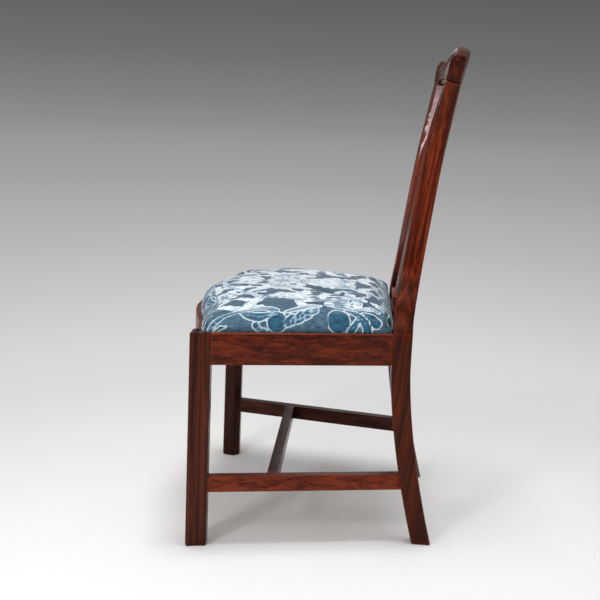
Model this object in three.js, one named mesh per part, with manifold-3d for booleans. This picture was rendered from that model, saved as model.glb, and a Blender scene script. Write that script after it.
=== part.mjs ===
// Mahogany dining chair with a shield shaped, pierced splat and a drop-in damask seat.
// Millimetres. +Z is up, the front of the chair faces -Y, and +X is the sitter's left.
// The front faces of the front legs lie at y = 0 while the pieces are made. At the end the
// whole chair moves so that its origin is on the floor, under the middle of its bounding box.
import * as THREE from 'three';
import { mergeVertices } from 'three/addons/utils/BufferGeometryUtils.js';
import Module from 'manifold-3d';

const wasm = await Module();
wasm.setup();

// Plan of the seat
const frontWidth = 563; // over the outer faces of the front legs
const rearWidth = 404; // over the outer faces of the back legs
const seatDepth = 378; // front face of the front legs to front face of the back legs
const frontBow = 30; // how far the serpentine front rail comes out past the front legs
const frontSetBack = 6; // how far the same rail stands behind the legs' faces at its ends

// Rails
const railTop = 424; // height of the seat rails above the floor
const railHeight = 62;
const railThickness = 24;
const railRound = 2.5; // rounding of the rails' outer top edge
const rebateLip = 9; // wall that is left outside the rebate
const rebateDepth = 18;

// Front legs
const frontLegWidth = 37;
const frontLegDepth = 38.8;
const legMouldDepth = 2.2; // depth of the two hollows on each show face
const legChamfer = 13; // chamfer on the inner corner
const footRound = 4.5; // rounding round the bottom of each foot

// Back legs and stiles, one piece each
const rearLegWidth = 34;
const rearFootWidth = 30;
const rearLegDepth = 37.5;
const legSetBack = 61; // how far the foot's front edge stands behind the seat joint
const sabrePower = 1.6; // shape of the leg's backward sweep
const crestJoint = 901; // height of the joint between stile and crest rail
const stileLean = 68; // how far the stile's front edge leans back at that joint
const crestLean = 12.5; // lean of the crest rail, in degrees
const backBow = 14; // hollow of the back in plan, at the crest rail
const stileMouldDepth = 2; // hollow between the two beads on the stile's front
const stileBead = 5;
const edgeSoft = 1.6; // softened arrises of the square pieces

// Crest rail
const earHalf = 188; // half of its length, ear to ear
const crestRise = 72; // height of its middle above the joint
const crestDepth = 27.5;
const crestTopRound = 8;
const crestField = 1.6; // sinking of its front inside the raised edge
const crestEdgeBand = 10; // width of that raised edge
const crestArch = 10; // rise of the underside between splat and stile

// Splat and shoe
const splatHalf = 108; // half of its greatest width
const splatThickness = 10;
const splatInset = 5; // front of the splat behind the front of the stiles
const splatRib = 14; // width of its outer ribs
const splatMidRib = 12; // width of the ribs between
const splatCentreRib = 15; // width of the middle rib
const pateraRadius = 21; // swelling of the middle rib
const splatTongue = 9; // tongues at the top and bottom
const splatShoulder = 5;
const shoeHeight = 46;
const shoeDepth = 25;
const shoeOverhang = 9; // shoe past the splat's foot at each side

// Stretchers
const stretcherTop = 140;
const stretcherHeight = 31;
const stretcherThickness = 21;
const stretcherInset = 3; // outer face of the side stretchers behind the legs' faces
const crossStretcherAt = 159; // middle of the cross stretcher behind the front legs' faces

// Joints
const jointGap = 0.3; // between pieces that meet
const tenonFit = 0.3; // round a tenon in its mortise
const tenonThickness = 9;
const railTenon = 16; // length of the front and side rails' tenons
const backRailTenon = 10;
const railTenonShoulder = 7;
const stretcherTenon = 12;
const stretcherTenonShoulder = 6;
const crestTenon = 20;
const crestTenonWidth = 16;
const crestTenonThickness = 9;

// Drop-in seat
const seatClearance = 1.2; // round the covered seat in its rebate
const frameThickness = 16;
const frameMember = 52; // width of each member in plan
const frameTongue = 15;
const frameTongueThickness = 6;
const coverThickness = 1.4;
const seatCrown = 58; // height of the cushion's middle above the rails
const seatCorner = 22; // rounding of the cushion's corners
const seatBulge = 2; // swelling of its sides above the rails
const webWidth = 50;
const webThickness = 1.5;
const hessianThickness = 1;
const tackLine = 10; // webbing and hessian end this far inside the frame's edge
const softGap = 0.3; // between the layers
const straps = 4; // front to back
const crossStraps = 3;

// Corner blocks and their screws
const blockLength = 64;
const blockHeight = 36;
const screwShank = 4;
const screwHead = 8;
const screwHeadHeight = 3;
const screwBite = 13; // length in the rail
const screwSunk = 5; // head below the block's face
const screwFit = 0.2;

// Finishes
const mahoganyColour = 0x5a2417;
const darkMahoganyColour = 0x451b13;
const beechColour = 0xb98d5b;
const clothColour = 0x5f8aa3;
const padColour = 0xd9d2c0;
const webColour = 0x9a8357;
const hessianColour = 0xab8e5e;
const steelColour = 0x8c8a84;

// Counts of steps
const legSteps = 10;
const stileSteps = 22;
const crestSteps = 24;
const serpentineSteps = 28;
const splatSteps = 26;
const slotSteps = 13;
const pateraSteps = 8;
const frontSteps = 14;
const sideSteps = 7;
const cornerSteps = 4;
const screwSides = 10;

// Worked out from the sizes above
const railBottom = railTop - railHeight;
const ledge = railTop - rebateDepth;
const shoeTop = railTop + shoeHeight;
const splay = Math.atan2((frontWidth - rearWidth) / 2, seatDepth);
const lean = THREE.MathUtils.degToRad(crestLean);
const overrun = rearWidth; // long enough for every cut to run right through
const stretcherBottom = stretcherTop - stretcherHeight;

// Half of the stile's outer width, its width and its depth, and how far its front edge has
// leaned back: each a share of its size at the seat, by the share of the height above the seat.
const stileOutShares = [[0, 1], [0.06, 0.945], [0.12, 0.865], [0.2, 0.79], [0.3, 0.745],
  [0.46, 0.733], [0.62, 0.742], [0.79, 0.768], [0.91, 0.81], [1, 0.852]];
const stileWidthShares = [[0, 1], [0.2, 0.9], [1, 0.84]];
const stileDepthShares = [[0, 1], [0.45, 0.98], [0.7, 0.905], [0.85, 0.83], [1, 0.755]];
const stileLeanShares = [[0, 0], [0.055, 0.007], [0.21, 0.14], [0.43, 0.33], [0.7, 0.6],
  [0.85, 0.8], [1, 1]];

// Top line of the crest rail: share of its rise by share of its half length. It dips inside the
// ears, and the ears' outer ends round off. The underside of an ear sweeps out from the stile.
const crestTopShares = [[0, 1], [0.2, 0.985], [0.4, 0.89], [0.55, 0.73], [0.68, 0.575],
  [0.765, 0.525], [0.84, 0.59], [0.9, 0.68], [0.945, 0.71], [0.98, 0.665], [1, 0.56]];
const earSweepShares = [[0, 0], [0.45, 0.16], [0.8, 0.34], [1, 0.5]];

// Outline of the splat: share of its greatest half width by share of its height
const splatShares = [[0, 0.4], [0.06, 0.375], [0.14, 0.33], [0.24, 0.42], [0.38, 0.64],
  [0.54, 0.86], [0.7, 0.985], [0.8, 1], [0.89, 0.94], [0.95, 0.84], [1, 0.79]];
const slotFromShare = 0.25; // where the long slots start and end, by the splat's height
const slotToShare = 0.93;
const slotSplitShare = 0.47; // where the rib between two slots runs, by the width inside the edge
const pateraAtShare = 0.6;
const footSlotShares = [0.05, 0.19]; // the small slot in the splat's foot

// Section of the shoe: how far it draws in by the share of its height
const shoeShares = [[0, 0], [0.4, 0], [0.43, 0.12], [0.6, 0.24], [0.72, 0.2], [0.74, 0.04],
  [0.97, 0.04], [1, 0.1]];

// Hollows of the front legs' show faces: share of the depth by share of the face
const legMouldShares = [[0.13, 0], [0.14, 0.5], [0.21, 0.87], [0.31, 1], [0.41, 0.87], [0.48, 0.4],
  [0.5, 0.1], [0.52, 0.4], [0.59, 0.87], [0.69, 1], [0.79, 0.87], [0.86, 0.5], [0.87, 0]];

// Height of the cushion by how far a place lies inside its edge: at the sides, at the back, and
// at the front, where it falls away most softly
const sideCrownShares = [[0, 0.1], [0.01, 0.3], [0.04, 0.52], [0.1, 0.68], [0.2, 0.83], [0.33, 0.92],
  [0.5, 0.97], [1, 1]];
const backCrownShares = [[0, 0.1], [0.01, 0.25], [0.04, 0.42], [0.1, 0.58], [0.2, 0.76], [0.33, 0.885],
  [0.5, 0.96], [1, 1]];
const frontCrownShares = [[0, 0.07], [0.03, 0.16], [0.09, 0.36], [0.19, 0.6], [0.33, 0.8],
  [0.5, 0.925], [0.7, 0.985], [1, 1]];
const crownRingShares = [0, 0.012, 0.04, 0.08, 0.14, 0.22, 0.33, 0.47, 0.64, 0.82, 0.95];

// Smooth curve through a table's points, held level past its ends
function readTable(table, at) {
  const last = table.length - 1;
  if (at <= table[0][0]) return table[0][1];
  if (at >= table[last][0]) return table[last][1];
  let index = 0;
  while (at > table[index + 1][0]) index += 1;
  const slopeAt = (k) => {
    const before = table[Math.max(k - 1, 0)];
    const after = table[Math.min(k + 1, last)];
    return (after[1] - before[1]) / (after[0] - before[0]);
  };
  const span = table[index + 1][0] - table[index][0];
  const t = (at - table[index][0]) / span;
  const start = slopeAt(index) * span;
  const end = slopeAt(index + 1) * span;
  const rise = table[index + 1][1] - table[index][1];
  return table[index][1] + start * t + (3 * rise - 2 * start - end) * t ** 2
    + (start + end - 2 * rise) * t ** 3;
}

const aboveSeat = (level) => (level - railTop) / (crestJoint - railTop);
const rampFrom = (level) => THREE.MathUtils.smoothstep(level, shoeTop, crestJoint);

// Outer face of the seat at a depth y, and the serpentine front at a width x
const sideFaceAt = (y) => frontWidth / 2 - Math.tan(splay) * y;
const serpentineHalf = frontWidth / 2 - frontLegWidth;
function serpentineAt(x) {
  const share = Math.min(Math.abs(x) / serpentineHalf, 1);
  return frontSetBack - (frontSetBack + frontBow) * (1 + Math.cos(Math.PI * share)) / 2;
}

// Front edge of the back legs and stiles at a height
function rearFrontAt(level) {
  if (level < railBottom) {
    return seatDepth + legSetBack * ((railBottom - level) / railBottom) ** sabrePower;
  }
  if (level > crestJoint) return seatDepth + stileLean + Math.tan(lean) * (level - crestJoint);
  if (level > railTop) return seatDepth + stileLean * readTable(stileLeanShares, aboveSeat(level));
  return seatDepth;
}
const stileOutAt = (level) => rearWidth / 2 * readTable(stileOutShares, aboveSeat(level));
const stileDepthAt = (level) => rearLegDepth * readTable(stileDepthShares, aboveSeat(level));
function rearWidthAt(level) {
  if (level > railTop) return rearLegWidth * readTable(stileWidthShares, aboveSeat(level));
  const share = Math.min(level / railBottom, 1);
  return rearFootWidth + (rearLegWidth - rearFootWidth) * share;
}

// A place in the leaning, hollow back: x across, a level up the back, and a depth behind its face
function backPoint(x, level, depth) {
  const tilt = lean * rampFrom(level);
  const hollow = backBow * rampFrom(level) * (1 - (x / stileOutAt(level)) ** 2);
  const y = rearFrontAt(level) + hollow + depth * Math.cos(tilt);
  return new THREE.Vector3(x, y, level - depth * Math.sin(tilt));
}

// A copy of a geometry with positions only, and its shared vertices merged
function welded(geometry) {
  const plain = geometry.clone();
  for (const name of Object.keys(plain.attributes)) {
    if (name !== 'position') plain.deleteAttribute(name);
  }
  return mergeVertices(plain);
}

// Booleans work on solids, and scene pieces on geometries
function solidOf(geometry) {
  const merged = welded(geometry);
  return new wasm.Manifold(new wasm.Mesh({
    numProp: merged.attributes.position.itemSize,
    vertProperties: new Float32Array(merged.attributes.position.array),
    triVerts: new Uint32Array(merged.index.array),
  }));
}

function geometryOf(solid) {
  const mesh = solid.getMesh();
  const geometry = new THREE.BufferGeometry();
  const places = new THREE.BufferAttribute(mesh.vertProperties, mesh.numProp);
  geometry.setAttribute('position', places);
  geometry.setIndex(new THREE.BufferAttribute(mesh.triVerts, 1));
  return geometry;
}

function cutFrom(geometry, cutters) {
  let solid = solidOf(geometry);
  for (const cutter of cutters) solid = solid.subtract(solidOf(cutter));
  return geometryOf(solid);
}

function joined(geometries) {
  let solid = solidOf(geometries[0]);
  for (const geometry of geometries.slice(1)) solid = solid.add(solidOf(geometry));
  return geometryOf(solid);
}

function flipFaces(index) {
  for (let at = 0; at < index.length; at += 3) {
    const first = index[at];
    index[at] = index[at + 1];
    index[at + 1] = first;
  }
}

// The same piece on the other side of the chair
function mirrored(geometry) {
  const copy = welded(geometry);
  copy.scale(-1, 1, 1);
  flipFaces(copy.index.array);
  return copy;
}

function volumeOf(places, index) {
  const corner = (k) => new THREE.Vector3().fromArray(places, index[k] * 3);
  let total = 0;
  for (let at = 0; at < index.length; at += 3) {
    total += corner(at).dot(corner(at + 1).cross(corner(at + 2)));
  }
  return total;
}

// A closed skin over rings of points, each ring as long as the others, with closed ends
function loft(rings) {
  const places = [];
  const index = [];
  const count = rings[0].length;
  for (const ring of rings) for (const point of ring) places.push(point.x, point.y, point.z);
  for (let row = 0; row < rings.length - 1; row += 1) {
    for (let k = 0; k < count; k += 1) {
      const a = row * count + k;
      const b = row * count + (k + 1) % count;
      index.push(a, b, a + count, b, b + count, a + count);
    }
  }
  const closeEnd = (row, forward) => {
    const middle = new THREE.Vector3();
    for (const point of rings[row]) middle.addScaledVector(point, 1 / count);
    places.push(middle.x, middle.y, middle.z);
    const centre = places.length / 3 - 1;
    for (let k = 0; k < count; k += 1) {
      const a = row * count + k;
      const b = row * count + (k + 1) % count;
      index.push(...(forward ? [a, b, centre] : [b, a, centre]));
    }
  };
  closeEnd(0, false);
  closeEnd(rings.length - 1, true);
  if (volumeOf(places, index) < 0) flipFaces(index);
  const geometry = new THREE.BufferGeometry();
  geometry.setAttribute('position', new THREE.Float32BufferAttribute(places, 3));
  geometry.setIndex(index);
  return geometry;
}

// An upright prism on a plan of [x, y] points
function prism(plan, low, high) {
  const shape = new THREE.Shape(plan.map(([x, y]) => new THREE.Vector2(x, y)));
  const geometry = new THREE.ExtrudeGeometry(shape, { depth: high - low, bevelEnabled: false });
  geometry.translate(0, 0, low);
  return geometry;
}

function block(from, to) {
  const size = to.map((value, axis) => value - from[axis]);
  const geometry = new THREE.BoxGeometry(...size);
  geometry.translate(...from.map((value, axis) => value + size[axis] / 2));
  return geometry;
}

// Moves a geometry made along the left side rail to its place: x is the distance inside the
// rail's outer face, y the distance along it from the front corner, and z the height.
function onSide(geometry) {
  const placed = mirrored(geometry);
  placed.rotateZ(splay);
  placed.translate(frontWidth / 2, 0, 0);
  return placed;
}

// Plans that pieces are cut to, each drawn wider by a gap
function frontLegPlan(gap) {
  const front = -gap;
  const back = frontLegDepth + gap;
  return [[sideFaceAt(front) + gap, front], [sideFaceAt(back) + gap, back],
    [sideFaceAt(back) - frontLegWidth - gap, back], [sideFaceAt(front) - frontLegWidth - gap, front]];
}

// All that stands behind the front edge of a back leg, at the heights of the leg
function behindRearLeg(gap) {
  const profile = new THREE.Shape();
  profile.moveTo(seatDepth + overrun, 0);
  for (let step = 0; step <= legSteps; step += 1) {
    const level = railBottom * step / legSteps;
    profile.lineTo(rearFrontAt(level) - gap, level);
  }
  profile.lineTo(seatDepth - gap, railTop + rebateDepth);
  profile.lineTo(seatDepth + overrun, railTop + rebateDepth);
  const geometry = new THREE.ExtrudeGeometry(profile, { depth: overrun * 2, bevelEnabled: false });
  geometry.applyMatrix4(new THREE.Matrix4().set(0, 0, 1, -overrun, 1, 0, 0, 0, 0, 1, 0, 0, 0, 0, 0, 1));
  return geometry;
}

// Plan of the rebate, and of anything in it, drawn in from the seat's outer faces
function seatPlan(inset, back) {
  const cornerY = frontSetBack + inset;
  const cornerX = sideFaceAt(cornerY) - inset;
  const plan = [];
  for (let step = 0; step <= serpentineSteps; step += 1) {
    const x = cornerX * (2 * step / serpentineSteps - 1);
    plan.push([x, serpentineAt(x) + inset]);
  }
  plan.push([sideFaceAt(back) - inset, back], [inset - sideFaceAt(back), back]);
  return plan;
}
const rebateCut = () => prism(seatPlan(rebateLip, seatDepth), ledge, railTop + rebateDepth);

// Section of a seat rail or stretcher: distance behind its outer face, and height
function railSection(thickness, low, high) {
  const soft = edgeSoft / 2;
  return [[0, low + soft], [0, high - railRound], [railRound * 0.3, high - railRound * 0.3],
    [railRound, high], [thickness - soft, high], [thickness, high - soft], [thickness, low + soft],
    [thickness - soft, low], [soft, low]];
}

// Tenons, each with room round it when it is cut as a mortise
function sideRailTenon(from, to, fit) {
  const middle = railThickness / 2;
  return onSide(block([middle - tenonThickness / 2 - fit, from, railBottom + railTenonShoulder - fit],
    [middle + tenonThickness / 2 + fit, to, ledge - railTenonShoulder + fit]));
}

function frontRailTenon(fit) {
  const middle = frontSetBack + railThickness / 2;
  const inner = sideFaceAt(middle) - frontLegWidth;
  return block([inner - railThickness, middle - tenonThickness / 2 - fit,
    railBottom + railTenonShoulder - fit],
  [inner + railTenon + fit, middle + tenonThickness / 2 + fit, ledge - railTenonShoulder + fit]);
}

function rearRailTenon(fit) {
  const middle = seatDepth + railThickness / 2;
  const inner = rearWidth / 2 - rearLegWidth;
  return block([inner - railThickness, middle - tenonThickness / 2 - fit,
    railBottom + railTenonShoulder - fit],
  [inner + backRailTenon + fit, middle + tenonThickness / 2 + fit, ledge - railTenonShoulder + fit]);
}

function sideStretcherTenon(from, to, fit) {
  const middle = stretcherInset + stretcherThickness / 2;
  return onSide(block([middle - tenonThickness / 2 - fit, from,
    stretcherBottom + stretcherTenonShoulder - fit],
  [middle + tenonThickness / 2 + fit, to, stretcherTop - stretcherTenonShoulder + fit]));
}

const sideLength = (y) => y / Math.cos(splay);
const frontSideTenonEnd = sideLength(frontLegDepth) - railTenon;
const rearSideTenonEnd = sideLength(seatDepth) + railTenon;
const frontStretcherEnd = sideLength(frontLegDepth) - stretcherTenon;
const rearStretcherFace = rearFrontAt((stretcherTop + stretcherBottom) / 2);
const rearStretcherEnd = sideLength(rearStretcherFace) + stretcherTenon;
const crossStretcherInner = sideFaceAt(crossStretcherAt) - stretcherInset
  - stretcherThickness / Math.cos(splay);

function crossStretcherTenon(fit) {
  return block([crossStretcherInner - stretcherTenon, crossStretcherAt - tenonThickness / 2 - fit,
    stretcherBottom + stretcherTenonShoulder - fit],
  [crossStretcherInner + stretcherTenon + fit, crossStretcherAt + tenonThickness / 2 + fit,
    stretcherTop - stretcherTenonShoulder + fit]);
}

// Tenon on the top of a stile, square to the leaning joint
function crestJointTenon(fit) {
  const width = crestTenonWidth / 2 + fit;
  const thickness = crestTenonThickness / 2 + fit;
  const geometry = block([-width, -thickness, -crestTenon], [width, thickness, crestTenon + fit]);
  const across = stileOutAt(crestJoint) - rearWidthAt(crestJoint) / 2;
  const middle = backPoint(across, crestJoint, stileDepthAt(crestJoint) / 2);
  geometry.rotateX(-lean);
  geometry.translate(middle.x, middle.y, middle.z);
  return geometry;
}

// Front leg: two hollows between beads on each show face, a chamfer inside, and a rounded foot
function frontLegGeometry() {
  const corners = frontLegPlan(0).map(([x, y]) => new THREE.Vector2(x, y));
  const [outerFront, outerBack, innerBack, innerFront] = corners;
  const outline = [];
  const addFace = (from, to, backwards) => {
    const along = to.clone().sub(from);
    const inward = new THREE.Vector2(along.y, -along.x).normalize().multiplyScalar(-1);
    const steps = backwards ? [...legMouldShares].reverse() : legMouldShares;
    const placeAt = (share, depth) => from.clone().addScaledVector(along, share)
      .addScaledVector(inward, depth);
    const soft = edgeSoft / along.length();
    outline.push(placeAt(soft, 0));
    for (const [share, depth] of steps) {
      outline.push(placeAt(backwards ? 1 - share : share, depth * legMouldDepth));
    }
    outline.push(placeAt(1 - soft, 0));
  };
  addFace(innerFront, outerFront, true);
  addFace(outerFront, outerBack, false);
  const backEdge = innerBack.clone().sub(outerBack).normalize();
  const innerEdge = innerFront.clone().sub(innerBack).normalize();
  outline.push(outerBack.clone().addScaledVector(backEdge, edgeSoft));
  outline.push(innerBack.clone().addScaledVector(backEdge, -legChamfer));
  outline.push(innerBack.clone().addScaledVector(innerEdge, legChamfer));
  outline.push(innerFront.clone().addScaledVector(innerEdge, -edgeSoft));
  const middle = outerFront.clone().add(innerBack).divideScalar(2);
  const ringAt = (level, inset) => outline.map((point) => {
    const shrink = 1 - 2 * inset / frontLegWidth;
    const place = middle.clone().add(point.clone().sub(middle).multiplyScalar(shrink));
    return new THREE.Vector3(place.x, place.y, level);
  });
  const leg = loft([ringAt(0, footRound), ringAt(footRound * 0.3, footRound * 0.3),
    ringAt(footRound, 0), ringAt(railTop - edgeSoft, 0), ringAt(railTop, edgeSoft / 2)]);
  return cutFrom(leg, [rebateCut(), frontRailTenon(tenonFit),
    sideRailTenon(frontSideTenonEnd - tenonFit, sideLength(frontLegDepth) + railThickness, tenonFit),
    sideStretcherTenon(frontStretcherEnd - tenonFit, sideLength(frontLegDepth) + railThickness,
      tenonFit)]);
}

// One ring of the back leg and stile: softened arrises, and above the seat a hollow between beads
function stileRing(level, inset) {
  const width = rearWidthAt(level) - 2 * inset;
  const depth = stileDepthAt(level) - 2 * inset;
  const outer = stileOutAt(level) - inset;
  const hollow = stileMouldDepth * THREE.MathUtils.smoothstep(level, railTop, shoeTop);
  const places = [[0, edgeSoft * 2], [edgeSoft * 0.6, edgeSoft * 0.6], [edgeSoft * 2, 0],
    [stileBead, 0], [stileBead + edgeSoft / 2, hollow * 0.6], [width / 2, hollow],
    [width - stileBead - edgeSoft / 2, hollow * 0.6], [width - stileBead, 0],
    [width - edgeSoft, 0], [width, edgeSoft], [width, depth - edgeSoft],
    [width - edgeSoft, depth], [edgeSoft, depth], [0, depth - edgeSoft]];
  return places.map(([across, behind]) => backPoint(outer - across, level, inset + behind));
}

function rearLegGeometry() {
  const rings = [stileRing(0, footRound / 2), stileRing(footRound * 0.3, footRound * 0.2),
    stileRing(footRound, 0)];
  for (let step = 1; step < legSteps; step += 1) rings.push(stileRing(railBottom * step / legSteps, 0));
  rings.push(stileRing(railBottom, 0));
  for (let step = 0; step <= stileSteps; step += 1) {
    rings.push(stileRing(railTop + (crestJoint - railTop) * step / stileSteps, 0));
  }
  const leg = joined([loft(rings), crestJointTenon(0)]);
  return cutFrom(leg, [rearRailTenon(tenonFit),
    sideRailTenon(sideLength(seatDepth) - railThickness, rearSideTenonEnd + tenonFit, tenonFit),
    sideStretcherTenon(sideLength(rearStretcherFace) - railThickness, rearStretcherEnd + tenonFit,
      tenonFit)]);
}

// Top and underside of the crest rail above its joint
const crestTopAt = (x) => crestRise * readTable(crestTopShares, Math.abs(x) / earHalf);
const stileInnerAtCrest = stileOutAt(crestJoint) - rearWidthAt(crestJoint);
const splatTopHalf = splatHalf * readTable(splatShares, 1);
function crestUnderAt(x) {
  const out = stileOutAt(crestJoint);
  const away = Math.abs(x);
  if (away > out) return crestRise * readTable(earSweepShares, (away - out) / (earHalf - out));
  const arch = (away - splatTopHalf) / (stileInnerAtCrest - splatTopHalf);
  if (arch <= 0 || arch >= 1) return 0;
  return crestArch * Math.sin(Math.PI * arch) ** 0.7;
}

function crestRing(x) {
  const low = crestUnderAt(x);
  const high = crestTopAt(x);
  const height = high - low;
  const round = Math.min(crestTopRound, height * 0.4);
  const band = Math.min(crestEdgeBand, height * 0.35);
  const foot = Math.min(stileBead, height * 0.15);
  const soft = Math.min(edgeSoft, height * 0.1);
  const field = crestField * Math.min(1, height / crestRise * 2);
  const places = [[0, low + soft], [0, low + foot], [field, low + foot + soft],
    [field, high - band - soft], [0, high - band], [0, high - round], [round * 0.3, high - round * 0.3],
    [round, high], [crestDepth - round, high], [crestDepth - round * 0.3, high - round * 0.3],
    [crestDepth, high - round], [crestDepth, low + soft], [crestDepth - soft, low], [soft, low]];
  return places.map(([behind, above]) => backPoint(x, crestJoint + above, behind));
}

function crestRailGeometry() {
  const rings = [];
  for (let step = -crestSteps; step <= crestSteps; step += 1) {
    const share = Math.abs(step) / crestSteps;
    rings.push(crestRing(Math.sign(step) * earHalf * (1 - (1 - share) ** 1.5)));
  }
  const rail = loft(rings);
  rail.translate(0, 0, jointGap);
  const tenonHole = crestJointTenon(tenonFit);
  return cutFrom(rail, [tenonHole, mirrored(tenonHole), splatTongueGeometry(true, tenonFit)]);
}

// Splat: a thin board, bent with the back, sawn to its outline and pierced
const splatLow = shoeTop + jointGap;
const splatHigh = crestJoint;
const splatLevel = (share) => splatLow + (splatHigh - splatLow) * share;
const splatHalfAt = (share) => splatHalf * readTable(splatShares, share);

// Stretch of board between two levels, wider and thicker by a fit
function splatBoard(levels, halfWidthAt, fit) {
  const front = splatInset - fit;
  const rear = splatInset + splatThickness + fit;
  const shares = [-1, -0.75, -0.5, -0.25, 0, 0.25, 0.5, 0.75, 1];
  return loft(levels.map((level) => {
    const half = halfWidthAt(level) + fit;
    return [...shares.map((share) => backPoint(share * half, level, front)),
      ...[...shares].reverse().map((share) => backPoint(share * half, level, rear))];
  }));
}

function splatTongueGeometry(atTop, fit) {
  const half = splatHalfAt(atTop ? 1 : 0) - splatShoulder;
  const from = atTop ? splatHigh - splatShoulder : splatLow - splatTongue - fit;
  const to = atTop ? splatHigh + splatTongue + fit : splatLow + splatShoulder;
  return splatBoard([from, to], () => half, fit);
}

// A cutter through the back, from an outline of [x, level] points
function backCutter(outline) {
  const shape = new THREE.Shape(outline.map(([x, level]) => new THREE.Vector2(x, level)));
  const geometry = new THREE.ExtrudeGeometry(shape, { depth: overrun, bevelEnabled: false });
  geometry.rotateX(Math.PI / 2);
  geometry.translate(0, seatDepth + overrun - rearLegDepth, 0);
  return geometry;
}

// A long slot between two edges, closing smoothly at both ends, with points also at the shares
// that are asked for
function slotOutline(fromShare, toShare, innerAt, outerAt, alsoShares = []) {
  const shares = [...alsoShares];
  for (let step = 0; step <= slotSteps; step += 1) {
    shares.push(fromShare + (toShare - fromShare) * (1 - Math.cos(Math.PI * step / slotSteps)) / 2);
  }
  shares.sort((a, b) => a - b);
  const sideOf = (direction) => shares.map((share) => {
    const along = (share - fromShare) / (toShare - fromShare);
    const middle = (innerAt(share) + outerAt(share)) / 2;
    const open = Math.sqrt(Math.max(0, 1 - Math.abs(2 * along - 1) ** 3));
    const half = Math.max(0, outerAt(share) - innerAt(share)) / 2 * open;
    return [middle + direction * half, splatLevel(share)];
  });
  const outer = sideOf(1);
  const inner = sideOf(-1).slice(1, -1).reverse();
  return [...outer, ...inner];
}

function splatGeometry() {
  const blend = 6; // power that rounds the patera into the rib
  const levels = [];
  for (let step = 0; step <= splatSteps; step += 1) levels.push(splatLevel(step / splatSteps));
  const halfAtLevel = (level) => splatHalfAt((level - splatLow) / (splatHigh - splatLow));
  const board = splatBoard(levels, halfAtLevel, 0);
  const edgeAt = (share) => splatHalfAt(share) - splatRib;
  const ribAt = (share) => edgeAt(share) * slotSplitShare;
  const pateraAt = (share) => {
    const away = (splatLevel(share) - splatLevel(pateraAtShare)) / pateraRadius;
    const swell = pateraRadius * Math.sqrt(Math.max(0, 1 - away ** 2));
    return ((splatCentreRib / 2) ** blend + swell ** blend) ** (1 / blend);
  };
  const pateraShares = [];
  for (let step = 0; step <= pateraSteps; step += 1) {
    const away = pateraRadius * Math.cos(Math.PI * step / pateraSteps);
    pateraShares.push(pateraAtShare + away / (splatHigh - splatLow));
  }
  const innerSlot = slotOutline(slotFromShare + 0.04, slotToShare, pateraAt,
    (share) => ribAt(share) - splatMidRib / 2, pateraShares);
  const outerSlot = slotOutline(slotFromShare, slotToShare - 0.03,
    (share) => ribAt(share) + splatMidRib / 2, edgeAt);
  const footSlot = slotOutline(...footSlotShares, () => 0, () => splatCentreRib / 2);
  const across = (outline) => outline.map(([x, level]) => [-x, level]).reverse();
  const footOutline = footSlot.map(([x, level]) => [2 * x - splatCentreRib / 2, level]);
  const cutters = [innerSlot, outerSlot, across(innerSlot), across(outerSlot), footOutline];
  const pierced = cutFrom(board, cutters.map(backCutter));
  return joined([pierced, splatTongueGeometry(true, 0), splatTongueGeometry(false, 0)]);
}

// Shoe: a moulded block on the back rail that holds the splat's foot
function shoeGeometry() {
  const half = splatHalfAt(0) + shoeOverhang;
  const rings = shoeShares.map(([share, drawn]) => {
    const inset = drawn * shoeOverhang;
    const level = railTop + jointGap + (shoeHeight - jointGap) * share;
    const front = seatDepth + inset;
    const rear = seatDepth + shoeDepth - inset;
    return [[half - inset, front], [half - inset, rear], [inset - half, rear], [inset - half, front]]
      .map(([x, y]) => new THREE.Vector3(x, y, level));
  });
  return cutFrom(loft(rings), [splatTongueGeometry(false, tenonFit)]);
}

// Serpentine front rail, rebated for the seat
function frontRailGeometry() {
  const section = railSection(railThickness, railBottom, railTop);
  const half = frontWidth / 2 - frontLegWidth / 2;
  const rings = [];
  for (let step = 0; step <= serpentineSteps; step += 1) {
    const x = half * (2 * step / serpentineSteps - 1);
    rings.push(section.map(([behind, level]) => new THREE.Vector3(x, serpentineAt(x) + behind, level)));
  }
  const leg = prism(frontLegPlan(jointGap), 0, railTop + rebateDepth);
  const rail = cutFrom(loft(rings), [leg, mirrored(leg), rebateCut()]);
  const tenon = frontRailTenon(0);
  return cutFrom(joined([rail, tenon, mirrored(tenon)]), blockScrewHoles(false));
}

// A straight piece along the side of the seat, from front leg to back leg
function sideBar(thickness, inset, low, high) {
  const section = railSection(thickness, low, high);
  const ring = (y) => section.map(([behind, level]) => new THREE.Vector3(inset + behind, y, level));
  const bar = onSide(loft([ring(frontLegDepth / 2), ring(sideLength(rearFrontAt(low)) + railThickness)]));
  const frontLeg = prism([[0, -frontLegDepth], [frontWidth, -frontLegDepth],
    [frontWidth, frontLegDepth + jointGap], [0, frontLegDepth + jointGap]], 0, railTop + rebateDepth);
  return cutFrom(bar, [frontLeg, behindRearLeg(jointGap)]);
}

function sideRailGeometry() {
  const bar = cutFrom(sideBar(railThickness, 0, railBottom, railTop), [rebateCut()]);
  const frontTenon = sideRailTenon(frontSideTenonEnd, sideLength(frontLegDepth) + railThickness, 0);
  const rearTenon = sideRailTenon(sideLength(seatDepth) - railThickness, rearSideTenonEnd, 0);
  return cutFrom(joined([bar, frontTenon, rearTenon]), blockScrewHoles(true));
}

function sideStretcherGeometry() {
  const bar = sideBar(stretcherThickness, stretcherInset, stretcherBottom, stretcherTop);
  const frontTenon = sideStretcherTenon(frontStretcherEnd,
    sideLength(frontLegDepth) + stretcherThickness, 0);
  const rearTenon = sideStretcherTenon(sideLength(rearStretcherFace) - railThickness,
    rearStretcherEnd, 0);
  return cutFrom(joined([bar, frontTenon, rearTenon]), [crossStretcherTenon(tenonFit)]);
}

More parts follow.
